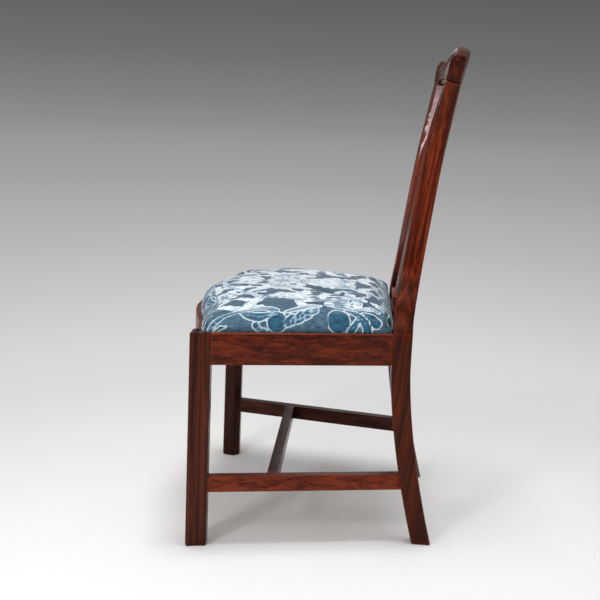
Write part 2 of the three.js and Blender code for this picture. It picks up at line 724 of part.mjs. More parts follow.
function crossStretcherGeometry() {
  const half = stretcherThickness / 2;
  const section = railSection(stretcherThickness, stretcherBottom, stretcherTop);
  const ring = (x) => section.map(([behind, level]) => (
    new THREE.Vector3(x, crossStretcherAt - half + behind, level)));
  const reach = crossStretcherInner + stretcherThickness;
  const inside = onSide(block([-overrun, -overrun, 0],
    [stretcherInset + stretcherThickness + jointGap, sideLength(seatDepth) + overrun, railTop]));
  const bar = cutFrom(loft([ring(-reach), ring(reach)]), [inside, mirrored(inside)]);
  const tenon = crossStretcherTenon(0);
  return joined([bar, tenon, mirrored(tenon)]);
}

// Back rail, tenoned between the back legs
function rearRailGeometry() {
  const reach = rearWidth / 2 - rearLegWidth - jointGap;
  const bar = prism([[-reach, seatDepth], [reach, seatDepth], [reach, seatDepth + railThickness],
    [-reach, seatDepth + railThickness]], railBottom, railTop);
  const tenon = rearRailTenon(0);
  return cutFrom(joined([bar, tenon, mirrored(tenon)]), blockScrewHoles(false));
}

// Corner blocks: three sided, glued and screwed in the four corners under the rebate
const blockInnerX = (y) => sideFaceAt(y) - railThickness / Math.cos(splay);
const rearBlockFace = seatDepth - jointGap;
const frontBlockFaceAt = (x) => serpentineAt(x) + railThickness + jointGap;

function frontBlockGeometry() {
  const cornerY = frontBlockFaceAt(serpentineHalf);
  const cornerX = blockInnerX(cornerY);
  const plan = [[cornerX + railThickness, cornerY - railThickness],
    [cornerX + railThickness, cornerY + blockLength], [cornerX, cornerY + blockLength],
    [cornerX - blockLength, cornerY], [cornerX - blockLength, cornerY - railThickness]];
  const rail = [];
  for (let step = 0; step <= serpentineSteps; step += 1) {
    const x = frontWidth / 2 * step / serpentineSteps;
    rail.push([x, frontBlockFaceAt(x)]);
  }
  rail.push([frontWidth / 2, -frontBow - railThickness], [0, -frontBow - railThickness]);
  return cutBlock(plan, [prism(rail, 0, railTop), prism(frontLegPlan(jointGap), 0, railTop)]);
}

function rearBlockGeometry() {
  const cornerX = blockInnerX(rearBlockFace);
  const plan = [[cornerX + railThickness, rearBlockFace], [cornerX - blockLength, rearBlockFace],
    [cornerX, rearBlockFace - blockLength], [cornerX + railThickness, rearBlockFace - blockLength]];
  return cutBlock(plan, []);
}

function cutBlock(plan, cutters) {
  const side = onSide(block([-overrun, -overrun, 0],
    [railThickness + jointGap, sideLength(seatDepth) + overrun, railTop]));
  const solid = prism(plan, ledge - blockHeight, ledge);
  return cutFrom(solid, [side, ...cutters, ...blockScrewHoles(true), ...blockScrewHoles(false)]);
}

// Screws through the blocks. Each is made along +Z from its head and turned to its direction.
const screwAlongShare = 0.6; // along the block from its corner
const screwStand = blockLength * (1 - screwAlongShare) - screwSunk; // head from the rail's face
const screwLength = screwStand + screwBite;
const screwUpShares = [0.68, 0.32]; // into the side rail, into the front or back rail
const screwPastLegShare = 0.45; // into the side rail behind the front leg, by the block's length

function screwPlaces() {
  const frontY = frontBlockFaceAt(serpentineHalf);
  const along = blockLength * screwAlongShare;
  const high = ledge - blockHeight * (1 - screwUpShares[0]);
  const low = ledge - blockHeight * (1 - screwUpShares[1]);
  const outward = new THREE.Vector3(Math.cos(splay), Math.sin(splay), 0);
  const inFront = new THREE.Vector3(0, -1, 0);
  const behind = new THREE.Vector3(0, 1, 0);
  const sidePlace = (y) => new THREE.Vector3(blockInnerX(y), y, high).addScaledVector(outward, -screwStand);
  const frontX = blockInnerX(frontY) - along;
  const rearX = blockInnerX(rearBlockFace) - along;
  return [
    { corner: 'front',
      intoSide: true,
      at: sidePlace(frontLegDepth + blockLength * screwPastLegShare),
      towards: outward },
    { corner: 'front',
      intoSide: false,
      at: new THREE.Vector3(frontX, frontBlockFaceAt(frontX) + screwStand, low),
      towards: inFront },
    { corner: 'rear', intoSide: true, at: sidePlace(rearBlockFace - along), towards: outward },
    { corner: 'rear',
      intoSide: false,
      at: new THREE.Vector3(rearX, rearBlockFace - screwStand, low),
      towards: behind },
  ];
}

function turnedTo(geometry, place) {
  const turn = new THREE.Quaternion().setFromUnitVectors(new THREE.Vector3(0, 0, 1), place.towards);
  geometry.applyQuaternion(turn);
  geometry.translate(place.at.x, place.at.y, place.at.z);
  return geometry;
}

function screwGeometry() {
  const profile = [[0, 0], [screwHead / 2, 0], [screwShank / 2, screwHeadHeight],
    [screwShank / 2, screwLength - screwShank], [0, screwLength]];
  const geometry = new THREE.LatheGeometry(profile.map(([r, z]) => new THREE.Vector2(r, z)), screwSides);
  geometry.rotateX(Math.PI / 2);
  const screw = welded(geometry);
  if (volumeOf(screw.attributes.position.array, screw.index.array) < 0) flipFaces(screw.index.array);
  return screw;
}

// Hole for a screw: a bore for its head, open to the middle of the seat, and one for its shank
function screwHole(place) {
  const bore = (radius, from, to) => {
    const geometry = new THREE.CylinderGeometry(radius, radius, to - from, screwSides);
    geometry.rotateX(Math.PI / 2);
    geometry.translate(0, 0, (from + to) / 2);
    return geometry;
  };
  const head = bore(screwHead / 2 + screwFit, -blockLength, screwHeadHeight + screwFit);
  const shank = bore(screwShank / 2 + screwFit, 0, screwLength + screwFit);
  return turnedTo(joined([head, shank]), place);
}

// The holes of the left side, and for the front and back rails those of the right side too
function blockScrewHoles(intoSide) {
  const holes = screwPlaces().filter((place) => place.intoSide === intoSide).map(screwHole);
  return intoSide ? holes : [...holes, ...holes.map(mirrored)];
}

// Drop-in seat: a beech frame in the rebate
const coverInset = rebateLip + seatClearance;
const frameInset = coverInset + coverThickness + softGap;
const frameLow = ledge + jointGap;
const frameHigh = frameLow + frameThickness;
const coverBack = seatDepth - seatClearance;
const frameBack = coverBack - coverThickness - softGap;
const frontMemberBack = frontSetBack + frameInset + frameMember;
const rearMemberFront = frameBack - frameMember;

// A member right across the seat, with the rounded corners of the cover
function frameMemberGeometry(from, to) {
  const plan = cushionOutline(frameInset).map((point) => point.toArray());
  const away = (low, high) => block([-frontWidth, low, 0], [frontWidth, high, railTop + rebateDepth]);
  const cutters = [away(from - seatDepth, from), away(to, to + seatDepth)];
  return cutFrom(prism(plan, frameLow, frameHigh), [...cutters, ...frameTenons(tenonFit)]);
}

function frameTenon(fit) {
  const middle = sideFaceAt((frontMemberBack + rearMemberFront) / 2) - frameInset - frameMember / 2;
  const height = (frameLow + frameHigh) / 2;
  const run = (y) => middle + Math.tan(splay) * ((frontMemberBack + rearMemberFront) / 2 - y);
  const from = frontMemberBack - frameTongue - fit;
  const to = rearMemberFront + frameTongue + fit;
  const half = frameMember / 4 + fit;
  const plan = [[run(from) - half, from], [run(from) + half, from], [run(to) + half, to],
    [run(to) - half, to]];
  return prism(plan, height - frameTongueThickness / 2 - fit, height + frameTongueThickness / 2 + fit);
}
const frameTenons = (fit) => [frameTenon(fit), mirrored(frameTenon(fit))];

function frameSideGeometry() {
  const from = frontMemberBack + jointGap;
  const to = rearMemberFront - jointGap;
  const outer = (y) => sideFaceAt(y) - frameInset;
  const plan = [[outer(from), from], [outer(to), to], [outer(to) - frameMember, to],
    [outer(from) - frameMember, from]];
  return joined([prism(plan, frameLow, frameHigh), frameTenon(0)]);
}

// Webbing in two layers, tacked to the top of the frame
function strapGeometry(number) {
  const reach = rearWidth / 2 - frameInset - tackLine - seatCorner / 2 - webWidth / 2;
  const x = reach * (2 * number / (straps - 1) - 1);
  const low = frameHigh + softGap;
  return block([x - webWidth / 2, frontSetBack + frameInset + tackLine, low],
    [x + webWidth / 2, frameBack - tackLine, low + webThickness]);
}

function crossStrapGeometry(number) {
  const y = seatDepth * (number + 1) / (crossStraps + 1);
  const reach = sideFaceAt(y + webWidth / 2) - frameInset - tackLine;
  const low = frameHigh + 2 * softGap + webThickness;
  return block([-reach, y - webWidth / 2, low], [reach, y + webWidth / 2, low + webThickness]);
}

const hessianLow = frameHigh + 3 * softGap + 2 * webThickness;
const padLow = hessianLow + hessianThickness + softGap;
function hessianGeometry() {
  const plan = cushionOutline(frameInset + tackLine).map((point) => point.toArray());
  return prism(plan, hessianLow, hessianLow + hessianThickness);
}

// Points round the cushion and what lies inside it, as many whatever the inset. The corners'
// rounding shrinks with the inset, so that the layers stay parallel.
function cushionOutline(inset) {
  const back = coverBack - (inset - coverInset);
  const cornerY = frontSetBack + inset;
  const cornerX = sideFaceAt(cornerY) - inset;
  const backX = sideFaceAt(back) - inset;
  const frontLeft = new THREE.Vector2(cornerX, cornerY);
  const backLeft = new THREE.Vector2(backX, back);
  const backRight = new THREE.Vector2(-backX, back);
  const frontRight = new THREE.Vector2(-cornerX, cornerY);
  const corner = Math.max(seatCorner - (inset - coverInset), edgeSoft);
  const outline = [];
  const frontHalf = cornerX - corner;
  for (let step = 0; step < frontSteps; step += 1) {
    const x = frontHalf * (2 * step / frontSteps - 1);
    outline.push(new THREE.Vector2(x, serpentineAt(x) + inset));
  }
  const towards = (place, other) => other.clone().sub(place).setLength(corner).add(place);
  const addCorner = (before, place, after) => {
    const curve = new THREE.QuadraticBezierCurve(towards(place, before), place, towards(place, after));
    outline.push(...curve.getPoints(cornerSteps));
  };
  const addSide = (from, to) => {
    const line = new THREE.LineCurve(towards(from, to), towards(to, from));
    outline.push(...line.getPoints(sideSteps).slice(1, -1));
  };
  addCorner(new THREE.Vector2(0, cornerY), frontLeft, backLeft);
  addSide(frontLeft, backLeft);
  addCorner(frontLeft, backLeft, backRight);
  addSide(backLeft, backRight);
  addCorner(backLeft, backRight, frontRight);
  addSide(backRight, frontRight);
  addCorner(backRight, frontRight, new THREE.Vector2(0, cornerY));
  outline.pop();
  return outline;
}

// Height of the cushion's skin above the rails, inside an edge point that faces forward or back
function crownAt(share, forward, rearward, crown) {
  const side = readTable(sideCrownShares, share);
  const front = readTable(frontCrownShares, share);
  const back = readTable(backCrownShares, share);
  return crown * (side + (front - side) * forward + (back - side) * rearward);
}

function cushionRing(outline, share, crown, level) {
  const centre = new THREE.Vector2(0, seatDepth / 2);
  return outline.map((point) => {
    const away = point.clone().sub(centre);
    const forward = THREE.MathUtils.smoothstep(-away.y / away.length(), 0.2, 0.85);
    const rearward = THREE.MathUtils.smoothstep(away.y / away.length(), 0.2, 0.75);
    const swell = seatBulge * Math.sin(Math.PI * Math.min(share * 8, 1)) * (1 - forward);
    const place = centre.clone().addScaledVector(away, 1 - share).addScaledVector(away.normalize(), swell);
    const height = level ?? railTop + crownAt(share, forward, rearward, crown);
    return new THREE.Vector3(place.x, place.y, height);
  });
}

// The damask cover, open underneath
function coverGeometry() {
  const outer = cushionOutline(coverInset);
  const inner = cushionOutline(coverInset + coverThickness);
  const innerCrown = seatCrown - coverThickness;
  const outside = crownRingShares.map((share) => cushionRing(outer, share, seatCrown));
  const inside = crownRingShares.map((share) => cushionRing(inner, share, innerCrown)
    .map((point) => point.setZ(point.z - coverThickness)));
  return loft([...inside.reverse(), cushionRing(inner, 0, innerCrown, frameLow),
    cushionRing(outer, 0, seatCrown, frameLow), ...outside]);
}

// The stuffing, which fills the cover: it lies on the hessian and rolls over the frame's edge
function paddingGeometry() {
  const outline = cushionOutline(frameInset);
  const sacking = cushionOutline(frameInset + tackLine - softGap);
  const onFrame = frameHigh + softGap;
  const crown = seatCrown - 2 * coverThickness - 2 * softGap;
  const drop = 2 * coverThickness + softGap;
  const rings = crownRingShares.map((share) => cushionRing(outline, share, crown)
    .map((point) => point.setZ(Math.max(onFrame + coverThickness / 2, point.z - drop))));
  return loft([cushionRing(sacking, 0, crown, padLow), cushionRing(sacking, 0, crown, onFrame),
    cushionRing(outline, 0, crown, onFrame), ...rings]);
}

// Pieces, each placed at its own middle
const chair = new THREE.Group();
chair.name = 'dining_chair';
const dropInSeat = new THREE.Group();
dropInSeat.name = 'drop_in_seat';
chair.add(dropInSeat);

function addPiece(name, geometry, colour, finish, parent = chair) {
  geometry.computeBoundingBox();
  const middle = geometry.boundingBox.getCenter(new THREE.Vector3());
  geometry.translate(-middle.x, -middle.y, -middle.z);
  geometry.computeVertexNormals();
  const material = new THREE.MeshStandardMaterial({ color: colour, ...finish });
  const mesh = new THREE.Mesh(geometry, material);
  mesh.name = name;
  mesh.position.copy(middle);
  parent.add(mesh);
}

function addPair(name, geometry, colour, finish, parent) {
  const other = mirrored(geometry);
  addPiece(`${name}_left`, geometry, colour, finish, parent);
  addPiece(`${name}_right`, other, colour, finish, parent);
}

const polish = { roughness: 0.25, metalness: 0 };
const bareWood = { roughness: 0.7, metalness: 0 };
const textile = { roughness: 0.9, metalness: 0 };
const steel = { roughness: 0.45, metalness: 0.9 };

function addFrame() {
  addPair('front_leg', frontLegGeometry(), darkMahoganyColour, polish);
  addPair('back_leg_and_stile', rearLegGeometry(), mahoganyColour, polish);
  addPiece('crest_rail', crestRailGeometry(), darkMahoganyColour, polish);
  addPiece('splat', splatGeometry(), mahoganyColour, polish);
  addPiece('splat_shoe', shoeGeometry(), mahoganyColour, polish);
  addPiece('front_rail', frontRailGeometry(), mahoganyColour, polish);
  addPair('side_rail', sideRailGeometry(), mahoganyColour, polish);
  addPiece('back_rail', rearRailGeometry(), mahoganyColour, polish);
  addPair('side_stretcher', sideStretcherGeometry(), mahoganyColour, polish);
  addPiece('cross_stretcher', crossStretcherGeometry(), mahoganyColour, polish);
}

function addBlocks() {
  addPair('front_corner_block', frontBlockGeometry(), beechColour, bareWood);
  addPair('back_corner_block', rearBlockGeometry(), beechColour, bareWood);
  for (const place of screwPlaces()) {
    const into = place.intoSide ? 'side' : place.corner;
    addPair(`${place.corner}_block_screw_${into}`, turnedTo(screwGeometry(), place), steelColour, steel);
  }
}

function addSeat() {
  const frontMember = frameMemberGeometry(-seatDepth, frontMemberBack);
  addPiece('seat_frame_front', frontMember, beechColour, bareWood, dropInSeat);
  const rearMember = frameMemberGeometry(rearMemberFront, seatDepth);
  addPiece('seat_frame_back', rearMember, beechColour, bareWood, dropInSeat);
  addPair('seat_frame_side', frameSideGeometry(), beechColour, bareWood, dropInSeat);
  for (let number = 0; number < straps; number += 1) {
    addPiece(`webbing_${number + 1}`, strapGeometry(number), webColour, textile, dropInSeat);
  }
  for (let number = 0; number < crossStraps; number += 1) {
    const name = `cross_webbing_${number + 1}`;
    addPiece(name, crossStrapGeometry(number), webColour, textile, dropInSeat);
  }
  addPiece('seat_hessian', hessianGeometry(), hessianColour, textile, dropInSeat);
  addPiece('seat_stuffing', paddingGeometry(), padColour, textile, dropInSeat);
  addPiece('seat_cover', coverGeometry(), clothColour, textile, dropInSeat);
}

addFrame();
addBlocks();
addSeat();

const box = new THREE.Box3().setFromObject(chair);
chair.position.y = -(box.min.y + box.max.y) / 2;

export default chair;
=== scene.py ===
# Mahogany dining chair with a shield shaped splat and a damask drop-in seat.
# Sizes are millimetres, measured from the front faces of the front legs. Each piece goes to
# metres and to the frame's place when its mesh is made.
import math

import bmesh
import bpy
import numpy as np
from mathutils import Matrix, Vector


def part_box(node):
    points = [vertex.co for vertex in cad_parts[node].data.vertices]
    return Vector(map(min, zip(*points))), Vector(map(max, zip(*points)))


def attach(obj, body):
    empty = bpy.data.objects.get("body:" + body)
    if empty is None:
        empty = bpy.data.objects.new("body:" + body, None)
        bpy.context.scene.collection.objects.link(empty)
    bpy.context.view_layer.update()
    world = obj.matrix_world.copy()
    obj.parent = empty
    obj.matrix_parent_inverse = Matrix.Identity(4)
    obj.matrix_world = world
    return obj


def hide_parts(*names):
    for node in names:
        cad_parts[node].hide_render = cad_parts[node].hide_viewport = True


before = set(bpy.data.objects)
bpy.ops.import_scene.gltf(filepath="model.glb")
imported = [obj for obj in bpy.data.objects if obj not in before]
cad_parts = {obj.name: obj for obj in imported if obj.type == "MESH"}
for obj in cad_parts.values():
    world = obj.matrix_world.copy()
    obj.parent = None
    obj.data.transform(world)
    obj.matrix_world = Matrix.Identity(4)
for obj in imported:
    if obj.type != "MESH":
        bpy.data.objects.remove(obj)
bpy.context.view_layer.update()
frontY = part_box("front_leg_left")[0][1]  # the front legs' faces in the frame
print("frame loaded")

scene = bpy.context.scene
scene.view_settings.view_transform = "Standard"
quarter = math.pi / 2


# Curves, surfaces and pieces

# Smooth curve through the table's points: a cubic between each two, whose slope at a point is the
# slope between its neighbours, held level past both ends.
def readTable(table, at):
    xs, ys = np.array(table, float).T
    at = np.clip(np.asarray(at, float), xs[0], xs[-1])
    before = np.maximum(np.arange(len(xs)) - 1, 0)
    after = np.minimum(np.arange(len(xs)) + 1, len(xs) - 1)
    slopes = (ys[after] - ys[before]) / (xs[after] - xs[before])
    k = np.clip(np.searchsorted(xs, at, side="right") - 1, 0, len(xs) - 2)
    span = xs[k + 1] - xs[k]
    t = (at - xs[k]) / span
    rise = ys[k + 1] - ys[k]
    start, end = slopes[k] * span, slopes[k + 1] * span
    return ys[k] + start * t + (3 * rise - 2 * start - end) * t**2 + (start + end - 2 * rise) * t**3


# 0 below low, 1 above high, and 3t² - 2t³ between.
def smoothStep(at, low, high):
    t = np.clip((np.asarray(at, float) - low) / (high - low), 0, 1)
    return t * t * (3 - 2 * t)


# Curve of the second degree from a to b, drawn towards a corner: (1-t)²a + 2t(1-t)corner + t²b.
def bendAt(t, a, corner, b):
    return (1 - t) ** 2 * a + 2 * t * (1 - t) * corner + t**2 * b


# Each corner gives way to such a curve, whose a and b lie its radius before and after it on the
# two edges.
def roundedLine(corners, radii, steps=4):
    corners = np.array(corners, float)
    before = np.roll(corners, 1, axis=0) - corners
    after = np.roll(corners, -1, axis=0) - corners
    radii = np.array(radii, float)[:, None]
    a = corners + before / np.linalg.norm(before, axis=1)[:, None] * radii
    b = corners + after / np.linalg.norm(after, axis=1)[:, None] * radii
    t = np.linspace(0, 1, steps + 1)[None, :, None]
    return bendAt(t, a[:, None], corners[:, None], b[:, None]).reshape(-1, 2)


# Four sided faces between neighbouring rows of a grid whose columns close round, and one many
# sided face at each end.
def tubeFaces(rows, cols):
    i, j = np.meshgrid(np.arange(rows - 1), np.arange(cols), indexing="ij")
    a, b = i * cols + j, i * cols + (j + 1) % cols
    quads = np.stack([a, b, b + cols, a + cols], axis=-1).reshape(-1, 4).tolist()
    ends = [list(range(cols))[::-1], list(range((rows - 1) * cols, rows * cols))]
    return quads + ends


# Four sided faces between neighbouring points of a grid, by the points' numbers.
def gridFaces(numbers):
    return np.stack([numbers[:-1, :-1], numbers[1:, :-1], numbers[1:, 1:], numbers[:-1, 1:]],
                    axis=-1).reshape(-1, 4)


# Millimetres from the legs' front faces, as metres in the frame: a thousandth, with y moved by the
# faces' own place.
def toFrame(points):
    return np.asarray(points, float).reshape(-1, 3) / 1000 + np.array([0, frontY, 0])


# Three numbers for each point of a mesh: its place or its normal.
def readPoints(mesh, what):
    values = np.zeros(len(mesh.vertices) * 3)
    mesh.vertices.foreach_get(what, values)
    return values.reshape(-1, 3)


# Keeps one number for each point of a mesh under each name, for the materials to read.
def keepNumbers(mesh, named):
    for name, values in named.items():
        layer = mesh.attributes.new(name, "FLOAT", "POINT")
        layer.data.foreach_set("value", values.astype(np.float32))


# How far each corner stands out: the mean over its edges of minus the cosine between its normal
# and the way to the neighbour. Worn polish follows it, and so does a painted highlight on edges.
def markArrises(mesh):
    places, normals = readPoints(mesh, "co"), readPoints(mesh, "normal")
    edges = np.zeros(len(mesh.edges) * 2, int)
    mesh.edges.foreach_get("vertices", edges)
    a, b = edges.reshape(-1, 2).T
    away = places[b] - places[a]
    away /= np.linalg.norm(away, axis=1)[:, None] + 1e-9
    total, number = np.zeros(len(places)), np.zeros(len(places))
    np.add.at(total, a, -(normals[a] * away).sum(1))
    np.add.at(total, b, (normals[b] * away).sum(1))
    np.add.at(number, a, 1)
    np.add.at(number, b, 1)
    keepNumbers(mesh, {"arris": total / np.maximum(number, 1)})


# A new object in the scene, of a mesh, a lamp or a camera.
def makeObject(name, data):
    thing = bpy.data.objects.new(name, data)
    scene.collection.objects.link(thing)
    return thing


# A mesh of points and faces, with its faces turned out. Merging joins points that lie within a
# thousandth of a millimetre.
def makeShell(name, points, faces, merging=True):
    mesh = bpy.data.meshes.new(name)
    mesh.from_pydata(toFrame(points).tolist(), [], faces)
    shell = bmesh.new()
    shell.from_mesh(mesh)
    if merging:
        bmesh.ops.remove_doubles(shell, verts=shell.verts, dist=1e-6)
    bmesh.ops.recalc_face_normals(shell, faces=shell.faces)
    shell.to_mesh(mesh)
    shell.free()
    return mesh


# Smooth shading, except over edges whose faces turn by more than so many degrees.
def shadeMesh(mesh, sharp=38):
    mesh.shade_smooth()
    mesh.set_sharp_from_angle(angle=math.radians(sharp))


# Makes a piece of points and faces, and gives it its finish, its body and the nodes that it stands
# for.
def makePiece(name, points, faces, finish, body, nodes, sharp=38):
    mesh = makeShell(name, points, faces)
    shadeMesh(mesh, sharp)
    markArrises(mesh)
    piece = makeObject(name, mesh)
    mesh.materials.append(finish)
    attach(piece, body)
    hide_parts(*nodes)
    return piece


# A mahogany piece of the chair's frame, made of rings that follow one another.
def makeMember(name, node, rings, finish, sharp=38):
    return makePiece(name, rings, tubeFaces(*rings.shape[:2]), finish, "frame", [node],
                     sharp)


# Gives a piece the mesh that its modifiers make, in their stead.
def keepModified(piece):
    bpy.context.view_layer.update()
    graph = bpy.context.evaluated_depsgraph_get()
    result = bpy.data.meshes.new_from_object(piece.evaluated_get(graph))
    piece.modifiers.clear()
    piece.data = result
    return result


# Takes the solid of points and faces out of a piece.
def cutAway(piece, points, faces):
    cutter = makeObject("cutter", makeShell("cutter", points, faces, merging=False))
    cut = piece.modifiers.new("rebate", "BOOLEAN")
    cut.operation, cut.solver, cut.object = "DIFFERENCE", "EXACT", cutter
    shadeMesh(keepModified(piece))
    bpy.data.objects.remove(cutter)


# Materials

# sRGB hex to the linear colour that Blender's sockets take: c / 12.92 at the dark end, and the
# power 2.4 of (c + 0.055) / 1.055 above it.
def toLinear(hexColour):
    parts = [int(hexColour[k:k + 2], 16) / 255 for k in (1, 3, 5)]
    return (*[c / 12.92 if c <= 0.04045 else ((c + 0.055) / 1.055) ** 2.4 for c in parts], 1)


# Gives a node its settings, which are properties or input values, and its links. A link from a
# node is from its first output.
def setNode(tree, node, settings=None, links=None):
    for key, value in (settings or {}).items():
        if isinstance(key, str) and hasattr(node, key):
            setattr(node, key, value)
        else:
            node.inputs[key].default_value = value
    for key, source in (links or {}).items():
        output = source.outputs[0] if isinstance(source, bpy.types.Node) else source
        tree.links.new(output, node.inputs[key])
    return node


# Adds a node, whose kind is Blender's name for it after the word ShaderNode.
def addNode(tree, kind, settings=None, links=None):
    return setNode(tree, tree.nodes.new("ShaderNode" + kind), settings, links)


# Gives a ramp its stops, each a place from 0 to 1 with a hex colour or a plain level of grey.
def setRamp(node, stops):
    ramp = node.color_ramp
    while len(ramp.elements) < len(stops):
        ramp.elements.new(0.5)
    for element, (at, colour) in zip(ramp.elements, stops):
        element.position = at
        element.color = toLinear(colour) if isinstance(colour, str) else (colour, colour, colour, 1)


# A material whose Principled shader feeds its output, for the caller to finish.
def newMaterial(name):
    material = bpy.data.materials.new(name)
    material.use_nodes = True
    tree = material.node_tree
    tree.nodes.clear()
    shader = addNode(tree, "BsdfPrincipled")
    addNode(tree, "OutputMaterial", links={"Surface": shader})
    return material, tree, shader


# French polished mahogany: planed, stained dark and rubbed with shellac, whose brown warms what
# it reflects. The eye sees long dark and warm streaks, short pores and a ribbon across them. The
# grain runs along the turned Z axis. The tone is the sum of the streaks and shares of the ribbon
# and the lines. Arrises go over to a paler red: partly worn polish, partly a painted highlight on
# the rounded edges. A table of heights can multiply the tone as painted shade and light.
def polishedMahogany(part, turn, place, dark="#200b08", middle="#471811", warm="#7a2f16",
                     polish=0.24, paintedHeightShade=None, wander=0.7, ribboned=0.12, wearAndHighlightTo=0.5,
                     gloss=0.3, shine="#ecb4a2"):
    material, tree, shader = newMaterial("frenchPolishedMahogany" + part)
    chair = addNode(tree, "TexCoord").outputs["Object"]
    board = addNode(tree, "Mapping", {"Location": place, "Rotation": turn}, {"Vector": chair})
    grain = {  # cells across and along the grain in mm, detail, roughness, distortion
        "streaks": (11, 320, 6, 0.62, wander),  # growth layers as the saw met them
        "ribbon": (60, 26, 2, 0.5, 0.4),  # interlocked grain, catching light across the board
        "lines": (2.6, 110, 3, 0.6, 0.0),  # fine dark lines
        "pores": (1.0, 9, 1, 0.5, 0.0),  # drawn coarser than the real 0.2 mm, so that they show
    }
    noise = {}
    for layer, (across, along, detail, roughness, distortion) in grain.items():
        size = addNode(tree, "Mapping", {"Scale": (1000 / across, 1000 / across, 1000 / along)},
                       {"Vector": board})
        noise[layer] = addNode(tree, "TexNoise", {"Scale": 1.0, "Detail": detail,
                                                  "Roughness": roughness, "Distortion": distortion},
                               {"Vector": size})

    mixed = addNode(tree, "Math", {"operation": "MULTIPLY_ADD", 1: ribboned},
                    {0: noise["ribbon"], 2: noise["streaks"]})
    level = addNode(tree, "Math", {"operation": "MULTIPLY_ADD", 1: 0.4},
                    {0: noise["lines"], 2: mixed})
    tone = addNode(tree, "ValToRGB", links={"Fac": level})
    setRamp(tone, [(0.6, dark), (0.74, middle), (0.9, warm)])

    pores = addNode(tree, "MapRange",
                    {"From Min": 0.6, "From Max": 0.68, "To Min": 0.0, "To Max": 0.55},
                    {"Value": noise["pores"]})
    stainedAndShaded = addNode(tree, "Mix", {"data_type": "RGBA", 7: toLinear("#1b0908")},
                      {0: pores, 6: tone})
    # The height table multiplies the tone as painted shade and light over the height, not the
    # stain's depth.
    if paintedHeightShade:  # the stain's depth over the height, in metres above the floor
        parts = addNode(tree, "SeparateXYZ", links={"Vector": chair})
        depth = addNode(tree, "ValToRGB", links={"Fac": parts.outputs["Z"]})
        setRamp(depth, paintedHeightShade)
        stainedAndShaded = addNode(tree, "Mix", {"data_type": "RGBA", "blend_type": "MULTIPLY", 0: 1.0},
                          {6: stainedAndShaded.outputs[2], 7: depth})
    arris = addNode(tree, "Attribute", {"attribute_name": "arris"})
    # Arrises go over to a paler red: partly worn polish, partly a painted highlight on rounded
    # edges.
    wearAndHighlight = addNode(tree, "MapRange",
                     {"From Min": 0.03, "From Max": 0.12, "To Min": 0.0, "To Max": wearAndHighlightTo},
                     {"Value": arris.outputs["Fac"]})
    wornAndHighlit = addNode(tree, "Mix", {"data_type": "RGBA", 7: toLinear("#963f20")},
                   {0: wearAndHighlight, 6: stainedAndShaded.outputs[2]})

    smears = addNode(tree, "TexNoise", {"Scale": 38.0, "Detail": 3.0, "Roughness": 0.6},
                     {"Vector": board})
    rough = addNode(tree, "MapRange",
                    {"From Min": 0.3, "From Max": 0.7, "To Min": polish, "To Max": polish + 0.14},
                    {"Value": smears})
    sunk = addNode(tree, "Math", {"operation": "MULTIPLY", 1: -1.0}, {0: pores})
    raised = addNode(tree, "Math", {"operation": "MULTIPLY_ADD", 1: 0.8}, {0: smears, 2: sunk})
    bump = addNode(tree, "Bump", {"Strength": 0.16, "Distance": 0.0003}, {"Height": raised})
    setNode(tree, shader, {"Specular IOR Level": gloss, "Specular Tint": toLinear(shine)},
            {"Base Color": wornAndHighlit.outputs[2], "Roughness": rough, "Normal": bump})
    return material


# Sawn and planed beech, left bare and gone brown with age: pale bands along the grain, with short
# dark flecks.
def sawnBeech(name):
    material, tree, shader = newMaterial(name)
    place = addNode(tree, "TexCoord").outputs["Object"]
    wide = addNode(tree, "Mapping", {"Scale": (55, 55, 5)}, {"Vector": place})  # 18 by 200 mm
    bands = addNode(tree, "TexNoise", {"Scale": 1.0, "Detail": 4.0, "Distortion": 0.5},
                    {"Vector": wide})
    tone = addNode(tree, "ValToRGB", links={"Fac": bands})
    setRamp(tone, [(0.3, "#8f6a40"), (0.52, "#b08a58"), (0.75, "#c39f6c")])
    fine = addNode(tree, "Mapping", {"Scale": (900, 900, 260)}, {"Vector": place})  # 1 by 4 mm
    flecks = addNode(tree, "TexNoise", {"Scale": 1.0, "Detail": 1.0}, {"Vector": fine})
    mask = addNode(tree, "MapRange",
                   {"From Min": 0.6, "From Max": 0.7, "To Min": 0.0, "To Max": 0.5},
                   {"Value": flecks})
    mixed = addNode(tree, "Mix", {"data_type": "RGBA", 7: toLinear("#6b4a2a")}, {0: mask, 6: tone})
    bump = addNode(tree, "Bump", {"Strength": 0.3, "Distance": 0.0004}, {"Height": flecks})
    setNode(tree, shader, {"Roughness": 0.72}, {"Base Color": mixed.outputs[2], "Normal": bump})
    return material


# Cut steel screws with a thin brown bloom: dull grey metal, brown where the finish has gone.
def agedSteel(name):
    material, tree, shader = newMaterial(name)
    place = addNode(tree, "TexCoord").outputs["Object"]
    bloom = addNode(tree, "TexNoise", {"Scale": 420.0, "Detail": 3.0}, {"Vector": place})
    tone = addNode(tree, "ValToRGB", links={"Fac": bloom})
    setRamp(tone, [(0.35, "#5b4a3d"), (0.55, "#85817a"), (0.8, "#9b9890")])
    rough = addNode(tree, "MapRange",
                    {"From Min": 0.3, "From Max": 0.7, "To Min": 0.55, "To Max": 0.35},
                    {"Value": bloom})
    setNode(tree, shader, {"Metallic": 1.0}, {"Base Color": tone, "Roughness": rough})
    return material


jute = {"bunch": 6.1685, "perUnit": 20 / (2 * math.pi)}  # waves that Blender draws at scale 1


